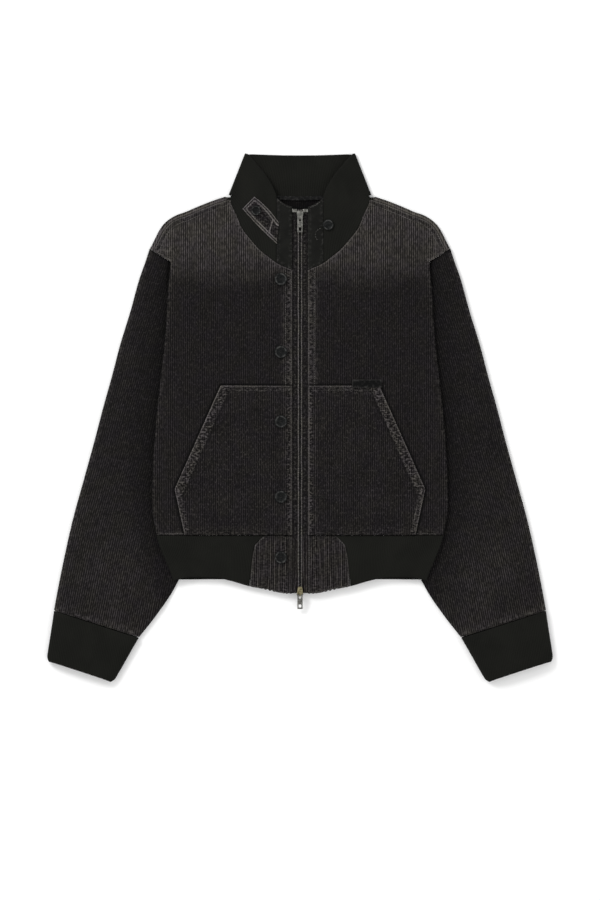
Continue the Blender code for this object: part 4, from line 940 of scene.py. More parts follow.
    def hem_tab(self) -> Sheet:
        """Right gathered denim piece between the zip and the hem band."""
        at = np.linspace(0.0, 1.0, 86)
        part = np.linspace(0.0, 1.0, 92)
        edge = FORM.tab_edge(at)
        x = FORM.front_edge_x + (edge[:, None] - FORM.front_edge_x) * part[None]
        top_y = FORM.hem_y - 2 * FORM.gap
        y = top_y + (FORM.hem_edge(x) - top_y) * at[:, None]
        down = np.broadcast_to(at[:, None], x.shape)
        frayed = 0.45 * waves(x, 68, 4.0) * smoothstep((down - 0.9) / 0.1)
        frayed = frayed * smoothstep((edge[:, None] - x) / 7.0)
        y = y + frayed
        z = FORM.hem_top(x, y) + self.gathers(x, down) + 0.12 * drift(x, y, 66, 9.0)
        bunch = (top_y - y) - 9.0 + 0.22 * x + 1.5 * waves(x, 69, 30.0)
        z = z + 0.9 * (bell(bunch / 1.5) - 0.8 * bell((bunch - 3.4) / 1.5)) * smoothstep((44.0 - x) / 14.0)
        side = np.minimum(x - FORM.front_edge_x, edge[:, None] - x)
        low = np.maximum(y - frayed - FORM.hem_edge(x), 0.0)
        ends = np.minimum(np.maximum(top_y - y, 0.0), low)
        z = z - 0.8 * np.exp(-side / 1.1) - 0.8 * np.exp(-ends / 1.3)
        z = z + 0.35 * bell((side - 3.4) / 1.6) - 0.5 * bell((side - 6.0) / 0.9)
        above = y - FORM.hem_edge(x)
        z = z + 0.3 * bell((above - 3.5) / 1.8) - 0.5 * bell((above - 6.6) / 1.0)
        seam_mm = np.minimum(edge[:, None] - x, np.minimum(x - FORM.front_edge_x + 0.6, low + 0.5))
        # painted light on the gathers: crests paler as painted highlights, troughs darker as painted shade,
        # painted shade just below the top seam, and a painted highlight along the bunched fold near the zip
        crest = np.clip(self.gathers(x, down) / 0.9, -1.0, 1.0)
        fade = 0.1 + 0.14 * drift(x, y, 67, 20.0) + 0.95 * np.maximum(crest, 0.0) ** 2
        fade = fade + 1.3 * np.minimum(crest, 0.0) - 0.5 * np.exp(-np.maximum(top_y - y, 0.0) / 4.0)
        fade = fade + 0.45 * bell(bunch / 1.2) * (x < 40)
        pucker = np.clip(0.35 + 0.5 * np.exp(-low / 5.0) + 0.5 * bell((x - 21.0) / 2.6), 0, 1)
        points = np.dstack([x, y, z])[::-1]
        return Sheet("hem_tab_right", points, np.dstack([x, y])[::-1], self.denim, seam_mm[::-1],
                     np.clip(fade, -1, 1)[::-1], held="gathered", pucker=pucker[::-1])


@dataclass
class Patches:
    """What lies on the fronts: the pockets, the neck strap and the bare tag."""

    denim: float = 1.6
    clear: float = 0.45
    facing: float = 13.0
    strap_corners: Array = field(default_factory=lambda: np.array([
        (-80.2, 290.2), (-63.6, 306.9), (-29.4, 270.5), (-32.4, 241.0)]))
    label_corners: Array = field(default_factory=lambda: np.array([
        (72.8, 51.8), (113.4, 51.8), (113.4, 40.6), (72.8, 40.6)]))

    def pocket(self) -> Sheet:
        """Right patch pocket: a Coons patch on the front's own height with a raised facing.

        The facing beside the slanted opening is a band that is proud of the patch and puckers
        between its two rows of stitching.
        """
        corner = FORM.pocket
        u, v = np.linspace(0, 1, 100), np.linspace(0, 1, 130)
        side = corner[1:4][::-1]
        plan = coons(along(corner[[4, 3]], u), along(corner[[0, 1]], u), along(corner[[4, 0]], v),
                     along(side, v), u, v)
        x, y = plan[..., 0], plan[..., 1]
        z = FORM.top(x, y) + self.clear + self.denim
        opening = path_distance(x, y, corner[1:3])
        lower = path_distance(x, y, corner[2:4])
        top_edge = corner[0][1] - y
        zip_edge = x - corner[0][0]
        hem = y - corner[3][1]
        run = (x - corner[1][0]) * 0.41 - (y - corner[1][1]) * 0.91
        band = smoothstep((self.facing + 1.0 - opening) / 2.0)
        z = z + 0.55 * band + 0.42 * waves(run, 71, 6.5) * band * smoothstep(opening / 3.0)
        z = z - 0.5 * bell((opening - self.facing - 0.8) / 1.0) * (top_edge > 3)
        z = z + 0.4 * waves(run, 72, 9.0) * np.exp(-np.abs(opening - self.facing - 5.0) / 5.0)
        z = (z + 0.3 * waves(y, 73, 9.0) * np.exp(-lower / 6.0)
             + 0.25 * waves(x, 74, 9.0) * np.exp(-top_edge / 6.0))
        z = (z + 0.28 * waves(x, 75, 8.0) * np.exp(-hem / 6.0)
             + 0.25 * waves(y, 76, 12.0) * np.exp(-zip_edge / 7.0))
        rim = np.minimum.reduce([opening, lower, top_edge, zip_edge])
        z = z - 0.9 * np.exp(-rim / 0.9) - 0.6 * np.exp(-hem / 1.4)
        seam_mm = np.minimum.reduce([opening, lower, top_edge + 0.5, zip_edge + 0.4, hem + 1.4])
        strip = smoothstep((8.5 - lower) / 2.0)
        fade = 0.05 + 0.3 * band + 0.2 * strip + 0.08 * drift(x, y, 78, 40.0)
        # painted shade: a dark line just beyond the raised facing band
        fade = fade - 0.5 * bell((opening - self.facing - 1.4) / 1.3) * (1 - strip) * (top_edge > 4)
        fade = fade + 0.3 * bell((x - 21.6) / 1.6)
        pucker = np.maximum.reduce([1.0 * band, 0.8 * strip, 0.9 * bell((x - 15.0) / 3.4),
                                    0.6 * bell((top_edge - 5.0) / 4.0), 0.55 * np.exp(-hem / 6.0)])
        return Sheet("pocket_right", np.dstack([x, y, z]), plan, self.denim, seam_mm, fade, pucker=pucker)

    def strap(self) -> Sheet:
        """Neck strap on the left of the collar: a patch with bowed long edges."""
        corner = self.strap_corners
        u, v = np.linspace(0, 1, 76), np.linspace(0, 1, 40)
        bow = 2.2 * np.sin(math.pi * u)[:, None] * np.array([0.66, 0.75])
        low = along(corner[[0, 3]], u) - bow * 0.6
        high = along(corner[[1, 2]], u) + bow
        plan = coons(low, high, along(corner[[0, 1]], v), along(corner[[3, 2]], v), u, v)
        x, y = plan[..., 0], plan[..., 1]
        rim = np.minimum.reduce([path_distance(x, y, low), path_distance(x, y, high),
                                 path_distance(x, y, corner[:2])])
        z = FORM.plain_top(x, y) + self.clear + self.denim + 0.35 * bell((rim - 2.2) / 1.6)
        z = z - 0.8 * np.exp(-rim / 0.7) + 0.25 * drift(x, y, 81, 16.0)
        box = np.abs(u[None] * 47.0 - 36.0)
        lines = np.minimum.reduce([rim, np.abs(rim - 4.0) + 0.15, box + 0.3 + 9.0 * (rim < 4.0)])
        return Sheet("strap", np.dstack([x, y, z]), plan, self.denim, lines, np.full(x.shape, -0.25),
                     pucker=np.full(x.shape, 0.3))

    def label(self) -> Sheet:
        """Small bare woven tag over the pocket's top edge."""
        corner = self.label_corners
        u, v = np.linspace(0, 1, 30), np.linspace(0, 1, 12)
        plan = coons(along(corner[[3, 2]], u), along(corner[[0, 1]], u), along(corner[[3, 0]], v),
                     along(corner[[2, 1]], v), u, v)
        x, y = plan[..., 0], plan[..., 1]
        z = FORM.top(x, y) + 2 * self.clear + self.denim + 1.2
        rim = np.minimum.reduce([x - corner[0, 0], corner[1, 0] - x, corner[0, 1] - y, y - corner[2, 1]])
        z = z - 0.3 * np.exp(-rim / 0.8) + 0.12 * drift(x, y, 82, 14.0)
        return Sheet("label", np.dstack([x, y, z]), plan, 0.8, rim, np.zeros(x.shape))

    def neck_tape(self) -> Sheet:
        """Narrow tape over the back neck seam, on the inside."""
        x, y = np.meshgrid(np.linspace(-52, 52, 60), np.linspace(0, 6, 8))
        curve = read(np.abs(x), np.array([0.0, 50, 95]), np.array([FORM.back_neck_y, 305.6, 308.6]))
        z = np.full(x.shape, 3.5) - 0.25 * np.exp(-np.minimum(y, 6 - y) / 0.6)
        return Sheet("neck_tape", np.dstack([x, curve - 1.5 + y, z]), np.dstack([x, y]), 0.8,
                     np.minimum(y, 6 - y), np.zeros(x.shape))

    def zip_tape(self) -> Sheet:
        """Right half of the zip tape under the edge of the front, with a corded inner edge."""
        xs = np.concatenate([np.linspace(0.3, 3.2, 12), np.linspace(3.8, 15.0, 20)])
        ys = np.linspace(-246.0, 289.0, 240)
        x, y = np.meshgrid(xs, ys)
        centre = 1.9 + 0.2 * waves(y, 83, 60.0)
        cord = bell((x - centre) / 0.55)
        z = FORM.centre_top(y) - 2.2 + 1.3 * cord + 0.4 * bell((x - 5.6) / 1.1)
        low = smoothstep((FORM.hem_y + 6.0 - y) / 14.0)
        fold = bell((x - 5.0 - 1.6 * waves(y, 84, 70.0)) / 1.0) + bell((x - 9.0) / 0.8)
        seam_mm = np.maximum(np.abs(x - centre) - 0.25, 0.0) + 0.15 + 3.0 * (x > 4)
        pucker = 0.35 * bell((x - 6.4) / 2.2) * (1 - low)
        streak = bell((x - 6.6 - 1.2 * waves(y, 85, 45.0)) / 0.8)
        # darker overall with a pale streak; the folds near the hem are painted paler as painted highlights
        fade = 0.2 * bell((x - 8.5) / 2.0) - 0.35 + 0.45 * streak + 1.2 * fold * low
        return Sheet("zip_tape_right", np.dstack([x, y, z + 0.9 * fold * low]), np.dstack([x, y]), 0.8,
                     seam_mm, np.minimum(fade, 1.0), pucker=pucker)


# ---------------------------------------------------------------- small parts


@dataclass
class Stitching:
    """Rows of sewing thread: short rounded stitches laid along seams, sunk a little into the cloth."""

    pitch: float = 3.3
    length: float = 2.5
    radius: float = 0.36
    lines: list[tuple[Array, Array, float]] = field(default_factory=list)

    def add(self, plan: Array, height: Array, radius: float = 1.0) -> None:
        """Add one row of stitches.

        Args:
            plan: its plan points.
            height: the cloth's height at each of them.
            radius: thickness of this thread beside the usual one.
        """
        self.lines.append((plan, height, radius))

    def stitches(self, dice: np.random.Generator) -> tuple[Array, Array, Array]:
        """Middle, direction and half size of every stitch, with a little unevenness."""
        middles, runs, sizes = [], [], []
        for plan, height, radius in self.lines:
            path = np.column_stack([plan, height])
            total = lengths(path)[-1]
            count = max(int(total / self.pitch), 2)
            at = (np.arange(count) + 0.5) / count
            half = self.length / 2 / total
            start = along(path, np.clip(at - half, 0, 1))
            end = along(path, np.clip(at + half, 0, 1))
            middles.append((start + end) / 2 + np.column_stack([
                dice.normal(0, 0.06, count), dice.normal(0, 0.06, count), np.full(count, 0.12)]))
            runs.append((end - start) / 2 * dice.uniform(0.9, 1.08, (count, 1)))
            sizes.append(np.full(count, self.radius * radius) * dice.uniform(0.88, 1.1, count))
        return np.vstack(middles), np.vstack(runs), np.concatenate(sizes)

    def build(self, name: str, material: bpy.types.Material) -> bpy.types.Object:
        """Make all stitches as one mesh: each a five-sided bead along its run, round at both ends.

        Args:
            name: the piece's name.
            material: the thread.

        Returns:
            The new object.
        """
        middle, run, size = self.stitches(np.random.default_rng(5))
        across = np.cross(run, np.array([0.0, 0.0, 1.0]))
        across /= np.linalg.norm(across, axis=1)[:, None]
        up = np.cross(across, run / np.linalg.norm(run, axis=1)[:, None])
        angles = np.radians(np.arange(5) * 72.0)
        rings = []
        for place, swell in ((-1.0, 0.45), (-0.62, 0.95), (0.62, 0.95), (1.0, 0.45)):
            ring = (middle + run * place)[:, None] + size[:, None, None] * swell * (
                across[:, None] * np.cos(angles)[None, :, None]
                + up[:, None] * np.sin(angles)[None, :, None])
            rings.append(ring)
        points = np.stack(rings, axis=1).reshape(-1, 3)
        count = len(middle)
        ring_index = np.arange(20).reshape(4, 5)
        turned = np.roll(ring_index, -1, axis=1)
        quads = np.stack([ring_index[:-1], ring_index[1:], turned[1:], turned[:-1]], -1).reshape(-1, 4)
        caps = np.array([ring_index[0], ring_index[3][::-1]])
        base = np.arange(count)[:, None, None] * 20
        faces = (base + quads[None]).reshape(-1, 4).tolist() + (base + caps[None]).reshape(-1, 5).tolist()
        mesh = bpy.data.meshes.new(name)
        mesh.from_pydata(points * MM, [], faces)
        mesh.shade_smooth()
        mesh.materials.append(material)
        piece = bpy.data.objects.new(name, mesh)
        bpy.context.scene.collection.objects.link(piece)
        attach(piece, BODY)
        LOG.info("%s: %d stitches", name, count)
        return piece


def offset_path(path: Array, inset: float) -> Array:
    """Plan path moved to its left by a distance, along the normal of its own run."""
    run = np.gradient(path, axis=0)
    run /= np.linalg.norm(run, axis=1)[:, None]
    return path + np.column_stack([-run[:, 1], run[:, 0]]) * inset


def fine(path: Array, step: float = 2.0) -> Array:
    """The same path with a point about every step."""
    count = max(int(lengths(path)[-1] / step), 4)
    return along(path, np.linspace(0.0, 1.0, count))


@dataclass
class Seams:
    """Where the jacket is topstitched."""

    def front_rows(self, side: Side, thread: Stitching) -> None:
        """Topstitching of one front: zip edge, shoulder, armhole, pocket and hem."""
        flip = np.array([side.value, 1.0])

        def lay(path: Array, lift: float, size: float = 1.0) -> None:
            """Lay one row on the front's own height, raised by lift."""
            rows = fine(path)
            height = FORM.top(rows[:, 0] * 1.0 if side is Side.RIGHT else -rows[:, 0], rows[:, 1])
            thread.add(rows * flip, height + lift, size)

        ys = np.linspace(-164.0, 203.0, 180)
        lay(np.column_stack([np.full(180, 12.5), ys]), 0.05, 0.9)
        lay(np.column_stack([np.full(180, 20.2), ys + 1.5])[80:], -0.1, 0.75)
        roof = FORM.shoulder_at(np.linspace(0.01, 0.99, 60), FORM.seam_in + 1.7, 0.0)[:, :2]
        lay(roof, 0.1)
        lay(FORM.shoulder_at(np.linspace(0.01, 0.99, 60), FORM.seam_in + 7.2, 0.0)[:, :2], 0.05, 0.8)
        hole = np.array(FORM.armhole)
        lay(offset_path(fine(hole), 1.6), 0.1)
        lay(np.column_stack([np.linspace(13, 196, 90), np.full(90, FORM.hem_y + 2.0)]), -0.15, 0.7)
        patch = Patches()
        lift = patch.clear + patch.denim
        corner = FORM.pocket
        for inset, rise, size in ((1.3, 0.45, 0.85), (patch.facing - 1.0, 0.3, 0.6)):
            lay(offset_path(fine(corner[1:3]), -inset)[2:-2], lift + rise, size)
        for start, end, size in ((0, 1, 0.6), (2, 3, 0.8)):
            for inset in (1.4, 6.2):
                lay(offset_path(fine(corner[[start, end]]), -inset)[1:-1], lift - 0.05, size)

    def hem_rows(self, side: Side, thread: Stitching, ribs: RibPieces) -> None:
        """One row of topstitching along the three free edges of a gathered hem piece."""
        flip = np.array([side.value, 1.0])
        down = np.linspace(0.03, 0.97, 40)
        top_y = FORM.hem_y - 2 * FORM.gap
        inset = 1.7
        for edge in (np.full(40, FORM.front_edge_x + inset), FORM.tab_edge(down) - inset):
            y = top_y + (FORM.hem_edge(edge) - top_y) * down
            z = FORM.hem_top(edge, y) + ribs.gathers(edge, down) + 0.25
            thread.add(np.column_stack([edge, y]) * flip, z, 0.85)
        x = np.linspace(FORM.front_edge_x + 1.5, float(FORM.tab_edge(np.array([0.95]))[0]) - 2, 60)
        y = FORM.hem_edge(x) + inset
        part = (top_y - y) / (top_y - FORM.hem_edge(x))
        z = FORM.hem_top(x, y) + ribs.gathers(x, part) + 0.25
        thread.add(np.column_stack([x, y]) * flip, z, 0.85)

    def neck_rows(self, thread: Stitching) -> None:
        """Topstitching of the collar's smooth pieces, the neckline, an arc on the right collar piece and the
        strap.
        """
        for flip in (1.0, -1.0):
            x = np.linspace(13.0, 31.0, 30)
            y = 291.0 + 12.5 * ((x - 11.0) / 21.5) ** 1.6
            thread.add(np.column_stack([x * flip, y]), FORM.plain_top(x, y), 0.6)
            x = np.linspace(34.0, 97.5, 60)
            y = FORM.neck_y(x) - 2.2
            thread.add(np.column_stack([x * flip, y]), FORM.top(x * flip, y) - 0.1, 0.7)
        turn = np.radians(np.linspace(100.0, 230.0, 24))
        arc = np.column_stack([31.0 + 9.6 * np.cos(turn), 253.4 + 9.6 * np.sin(turn)])
        thread.add(arc, FORM.plain_top(arc[:, 0], arc[:, 1]), 0.8)
        patch = Patches()
        corner = patch.strap_corners
        u = np.linspace(0.0, 1.0, 60)
        bow = 2.2 * np.sin(math.pi * u)[:, None] * np.array([0.66, 0.75])
        low, high = along(corner[[0, 3]], u) - bow * 0.6, along(corner[[1, 2]], u) + bow
        lift = patch.clear + patch.denim + 0.2
        for inset in (1.3, 4.2):
            for path in (offset_path(low, inset), offset_path(high, -inset),
                         offset_path(fine(corner[:2]), -inset)):
                path = path[2:-2]
                thread.add(path, FORM.plain_top(path[:, 0], path[:, 1]) + lift, 1.1)


@dataclass
class Fastenings:
    """Buttons, buttonholes, and the zip's teeth and stops."""

    front_y: tuple[float, ...] = (191.8, 90.4, -6.7, -111.3, -196.0)
    hole_x: float = 26.0
    radius: float = 9.0
    zip_top: float = 287.0
    zip_bottom: float = -237.0

    def turned(self, name: str, profile: Array, centre: Array, material: bpy.types.Material,
               rim: bpy.types.Material, steps: int = 56) -> bpy.types.Object:
        """Solid of revolution about an upright axis.

        Args:
            name: the piece's name.
            profile: radius and height pairs from the top middle round to the bottom middle, mm.
            centre: where its axis meets its lower face, mm.
            material: its finish.
            rim: the finish of its rim, painted paler as a highlight.
            steps: points round it.

        Returns:
            The new object, its poles closed.
        """
        turn = np.linspace(0, 2 * math.pi, steps, endpoint=False)
        inner = profile[1:-1]
        ring = np.stack([inner[:, :1] * np.cos(turn)[None], inner[:, :1] * np.sin(turn)[None],
                         np.broadcast_to(inner[:, 1:], (len(inner), steps))], axis=-1)
        points = np.vstack([ring.reshape(-1, 3), [(0, 0, profile[0, 1]), (0, 0, profile[-1, 1])]])
        index = np.arange(len(inner) * steps).reshape(len(inner), steps)
        after = np.roll(index, -1, axis=1)
        quads = np.stack([index[:-1], index[1:], after[1:], after[:-1]], -1).reshape(-1, 4).tolist()
        top, low = len(points) - 2, len(points) - 1
        fans = [[top, int(a), int(b)] for a, b in zip(index[0], after[0])]
        fans += [[low, int(b), int(a)] for a, b in zip(index[-1], after[-1])]
        mesh = bpy.data.meshes.new(name)
        mesh.from_pydata((points + centre) * MM, [], quads + fans)
        mesh.shade_smooth()
        mesh.set_sharp_from_angle(angle=math.radians(50.0))
        mesh.materials.append(material)
        mesh.materials.append(rim)
        rows = np.repeat(np.arange(len(inner) - 1), steps)
        # rows 3 and 4, the raised rim, take the rim finish, a paler colour that paints a highlight
        worn = np.isin(rows, (3, 4)).astype(np.int32)
        mesh.polygons.foreach_set("material_index", np.concatenate([worn, np.zeros(len(fans), np.int32)]))
        piece = bpy.data.objects.new(name, mesh)
        bpy.context.scene.collection.objects.link(piece)
        return piece

    def button(self, node: str, radius: float, material: bpy.types.Material,
               rim: bpy.types.Material) -> None:
        """One sewn button on its node's place: raised rim, dished middle and soft edges."""
        low, high = (np.array(corner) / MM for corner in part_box(node))
        thick = high[2] - low[2]
        centre = np.array([(low[0] + high[0]) / 2, (low[1] + high[1]) / 2, low[2]])
        profile = np.array([
            (0, thick - 0.95), (radius * 0.2, thick - 0.95), (radius * 0.56, thick - 0.85),
            (radius * 0.64, thick - 0.55), (radius * 0.7, thick - 0.12), (radius * 0.77, thick),
            (radius * 0.88, thick - 0.04), (radius * 0.95, thick - 0.35), (radius, thick - 0.95),
            (radius * 0.985, thick - 1.4), (radius * 0.93, 0.5), (radius * 0.8, 0.1),
            (radius * 0.7, 0.0), (0, 0.0)])
        piece = self.turned(node + "_turned", profile, centre, material, rim)
        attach(piece, BODY)
        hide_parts(node)

    def cross_threads(self, thread: Stitching, node: str) -> None:
        """Two short bars of thread through the middle of a button."""
        low, high = (np.array(corner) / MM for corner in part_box(node))
        x, y = (low[0] + high[0]) / 2, (low[1] + high[1]) / 2
        height = np.full(2, high[2] - 0.85)
        for shift in (-1.1, 1.1):
            plan = np.array([(x - 1.9, y + shift), (x + 1.9, y + shift)])
            thread.add(plan, height, 1.2)

    def buttonholes(self, thread: Stitching) -> None:
        """Worked buttonholes on the right front: close bars of thread round a slit."""
        for y in self.front_y:
            if y < FORM.hem_y:
                continue
            for edge in (-1.0, 1.0):
                xs = np.linspace(self.hole_x - 9.5, self.hole_x + 9.5, 26)
                lift = 2.05 if FORM.pocket[3][1] < y < FORM.pocket[0][1] else 0.0
                for x in xs:
                    plan = np.array([(x, y + edge * 0.35), (x + 0.15, y + edge * 1.75)])
                    z = FORM.top(plan[:, 0], plan[:, 1]) + lift
                    thread.add(plan, z, 0.7)

    def teeth(self, material: bpy.types.Material) -> None:
        """Zip teeth: two rows of small bevelled blocks that mesh along the middle."""
        pitch = 2.0
        ys = np.arange(self.zip_bottom + 1.5, self.zip_top - 13.0, pitch)
        rings = []
        for x, grow in ((-0.25, 0.7), (0.25, 1.2), (0.75, 0.9), (1.25, 1.0)):
            half_y, half_z = 0.55 * grow, 0.7 * (0.92 + 0.08 * grow)
            rings.append([(x, -half_y, -half_z), (x, half_y, -half_z), (x, half_y, half_z * 0.8),
                          (x, half_y * 0.6, half_z), (x, -half_y * 0.6, half_z), (x, -half_y, half_z * 0.8)])
        shape = np.array(rings)
        index = np.arange(24).reshape(4, 6)
        after = np.roll(index, -1, axis=1)
        quads = np.stack([index[:-1], after[:-1], after[1:], index[1:]], -1).reshape(-1, 4)
        caps = [index[0][::-1], index[3]]
        points, faces = [], []
        for side in (1.0, -1.0):
            row = ys + (pitch / 2 if side < 0 else 0.0)
            centre = np.stack([np.zeros_like(row), row, FORM.centre_top(row) - 1.5], -1)
            local = shape.reshape(1, 24, 3) * np.array([side, 1.0, 1.0])
            base = sum(len(p) for p in points)
            points.append((centre[:, None] + local).reshape(-1, 3))
            start = base + np.arange(len(row))[:, None, None] * 24
            turn = quads if side > 0 else quads[:, ::-1]
            ends = np.array(caps) if side > 0 else np.array(caps)[:, ::-1]
            faces += (start + turn[None]).reshape(-1, 4).tolist()
            faces += (start + ends[None]).reshape(-1, 6).tolist()
        mesh = bpy.data.meshes.new("zip_teeth")
        mesh.from_pydata(np.vstack(points) * MM, [], faces)
        mesh.shade_smooth()
        mesh.set_sharp_from_angle(angle=math.radians(40.0))
        mesh.materials.append(material)
        piece = bpy.data.objects.new("zip_teeth", mesh)
        bpy.context.scene.collection.objects.link(piece)
        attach(piece, BODY)
        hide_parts("zip_chain")
        LOG.info("zip_teeth: %d teeth", 2 * len(ys))

    def stops(self, material: bpy.types.Material) -> None:
        """Two small bevelled plates over the ends of the zip tape, beside the top slider."""
        for side in Side:
            mesh = bpy.data.meshes.new("zip_stop_" + side.suffix)
            work = bmesh.new()
            bmesh.ops.create_cube(work, size=1.0)
            height = float(FORM.centre_top(np.array([self.zip_top]))[0])
            size = np.array([7.0, 4.4, 1.6])
            centre = np.array([side.value * 7.6, self.zip_top + 0.4, height - 0.4])
            for vertex in work.verts:
                vertex.co = (np.array(vertex.co) * size + centre) * MM
            work.to_mesh(mesh)
            work.free()
            mesh.materials.append(material)
            plate = bpy.data.objects.new(mesh.name, mesh)
            bpy.context.scene.collection.objects.link(plate)
            edge = plate.modifiers.new("Edge", "BEVEL")
            edge.width = 0.5 * MM
            edge.segments = 3
            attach(plate, BODY)


# ---------------------------------------------------------------- finishes


class Nodes:
    """Short way to place and join shader nodes in one tree."""

    def __init__(self, tree: bpy.types.NodeTree) -> None:
        """Keep the tree that the nodes go into."""
        self.tree = tree

    def add(self, kind: str, settings: dict[str, object] | None = None,
            inputs: dict[str | int, object] | None = None) -> bpy.types.Node:
        """Place one node.

        Args:
            kind: its Blender type name.
            settings: attributes to set on it.
            inputs: socket values, or sockets to join to it, by name or number.

        Returns:
            The node.
        """
        node = self.tree.nodes.new(kind)
        for key, value in (settings or {}).items():
            setattr(node, key, value)
        for key, value in (inputs or {}).items():
            if isinstance(value, bpy.types.NodeSocket):
                self.tree.links.new(value, node.inputs[key])
            else:
                node.inputs[key].default_value = value
        return node

    def math(self, operation: str, a: object, b: object = 0.0, clamp: bool = False) -> bpy.types.NodeSocket:
        """Result socket of one Math node."""
        node = self.add("ShaderNodeMath", {"operation": operation, "use_clamp": clamp}, {0: a, 1: b})
        return node.outputs[0]

    def noise(self, vector: bpy.types.NodeSocket, scale: float, detail: float = 2.0,
              stretch: tuple[float, float, float] = (1.0, 1.0, 1.0)) -> bpy.types.NodeSocket:
        """Value socket of a Noise texture on a stretched vector."""
        mapping = self.add("ShaderNodeMapping", None, {"Vector": vector, "Scale": stretch})
        node = self.add("ShaderNodeTexNoise", None,
                        {"Vector": mapping.outputs[0], "Scale": scale, "Detail": detail})
        return node.outputs[0]

    def ease(self, value: object, low: float, high: float, to_low: float = 0.0,
             to_high: float = 1.0) -> bpy.types.NodeSocket:
        """Value eased from one range to another by a smooth Map Range node."""
        node = self.add("ShaderNodeMapRange", {"interpolation_type": "SMOOTHSTEP"}, {
            0: value, 1: low, 2: high, 3: to_low, 4: to_high})
        return node.outputs[0]

    def mix(self, factor: object, a: object, b: object, blend: str = "MIX") -> bpy.types.NodeSocket:
        """Colour socket of a Mix node between two colours."""
        node = self.add("ShaderNodeMix", {"data_type": "RGBA", "blend_type": blend}, {0: factor, 6: a, 7: b})
        return node.outputs[2]


def group(name: str, inputs: dict[str, tuple[str, float | tuple]], outputs: dict[str, str]) -> tuple[
        bpy.types.NodeTree, Nodes, bpy.types.Node, bpy.types.Node]:
    """Start a shader node group with named sockets.

    Args:
        name: the group's name.
        inputs: socket type and default for each input.
        outputs: socket type for each output.

    Returns:
        The tree, its node helper, its input node and its output node.
    """
    tree = bpy.data.node_groups.new(name, "ShaderNodeTree")
    for title, (kind, value) in inputs.items():
        socket = tree.interface.new_socket(name=title, in_out="INPUT", socket_type=kind)
        if kind != "NodeSocketVector":
            socket.default_value = value
    for title, kind in outputs.items():
        tree.interface.new_socket(name=title, in_out="OUTPUT", socket_type=kind)
    nodes = Nodes(tree)
    return tree, nodes, nodes.add("NodeGroupInput"), nodes.add("NodeGroupOutput")


FLOAT, VECTOR = "NodeSocketFloat", "NodeSocketVector"


def stripe_group() -> bpy.types.NodeTree:
    """Striped twill: light broken lines along the cloth, twill diagonals and pale flecks."""
    tree, n, given, out = group("striped_twill", {
        "Vector": (VECTOR, 0), "Pitch": (FLOAT, 0.003), "Broken": (FLOAT, 0.5)},
        {"Stripe": FLOAT, "Fleck": FLOAT, "Height": FLOAT})
    cut = n.add("ShaderNodeSeparateXYZ", None, {0: given.outputs[0]})
    wander = n.noise(given.outputs[0], 30.0, 2.0, (1.0, 0.15, 1.0))
    across = n.math("ADD", cut.outputs[0], n.math("MULTIPLY", n.math("SUBTRACT", wander, 0.5), 0.0012))
    turn = n.math("MULTIPLY", n.math("DIVIDE", across, given.outputs[1]), 2 * math.pi)
    line = n.math("MULTIPLY_ADD", n.math("SINE", turn), 0.5)
    line.node.inputs[2].default_value = 0.5
    sharp = n.math("POWER", line, 1.6)
    streak = n.ease(n.noise(given.outputs[0], 520.0, 2.0, (1.0, 0.34, 1.0)), 0.38, 0.64)
    patchy = n.ease(n.noise(given.outputs[0], 60.0, 3.0, (1.6, 0.6, 1.0)), 0.3, 0.7)
    broken = n.math("MULTIPLY", n.math("ADD", n.math("MULTIPLY", streak, 0.75),
                                       n.math("MULTIPLY", patchy, 0.25)), given.outputs[2])
    kept = n.math("ADD", n.math("SUBTRACT", 1.0, given.outputs[2]), broken)
    stripe = n.math("MULTIPLY", sharp, kept, True)
    speck = n.ease(n.noise(given.outputs[0], 640.0, 1.0, (1.0, 0.45, 1.0)), 0.56, 0.72)
    twill = n.math("SINE", n.math("MULTIPLY", n.math("ADD", cut.outputs[0], cut.outputs[1]), 6800.0))
    height = n.math("ADD", n.math("MULTIPLY", twill, 0.25), n.math("MULTIPLY", line, 0.8))
    for index, socket in enumerate((stripe, speck, height)):
        tree.links.new(socket, out.inputs[index])
    return tree


def wear_group() -> bpy.types.NodeTree:
    """Wear beside seams: a pale worked edge, and marbled puckers that fade away from it."""
    tree, n, given, out = group("seam_wear", {
        "Vector": (VECTOR, 0), "Seam": (FLOAT, 0.0), "Reach": (FLOAT, 9.0)},
        {"Edge": FLOAT, "Marble": FLOAT})
    edge_noise = n.ease(n.noise(given.outputs[0], 420.0, 3.0), 0.3, 0.72)
    edge = n.math("MULTIPLY", n.ease(given.outputs[1], 0.15, 1.5, 1.0, 0.0),
                  n.math("ADD", n.math("MULTIPLY", edge_noise, 0.8), 0.3), True)
    cloud = n.ease(n.noise(given.outputs[0], 230.0, 3.0), 0.47, 0.66)
    near = n.math("SUBTRACT", 1.0, n.math("DIVIDE", given.outputs[1], given.outputs[2]), True)
    marble = n.math("MULTIPLY", cloud, near, True)
    for index, socket in enumerate((edge, marble)):
        tree.links.new(socket, out.inputs[index])
    return tree


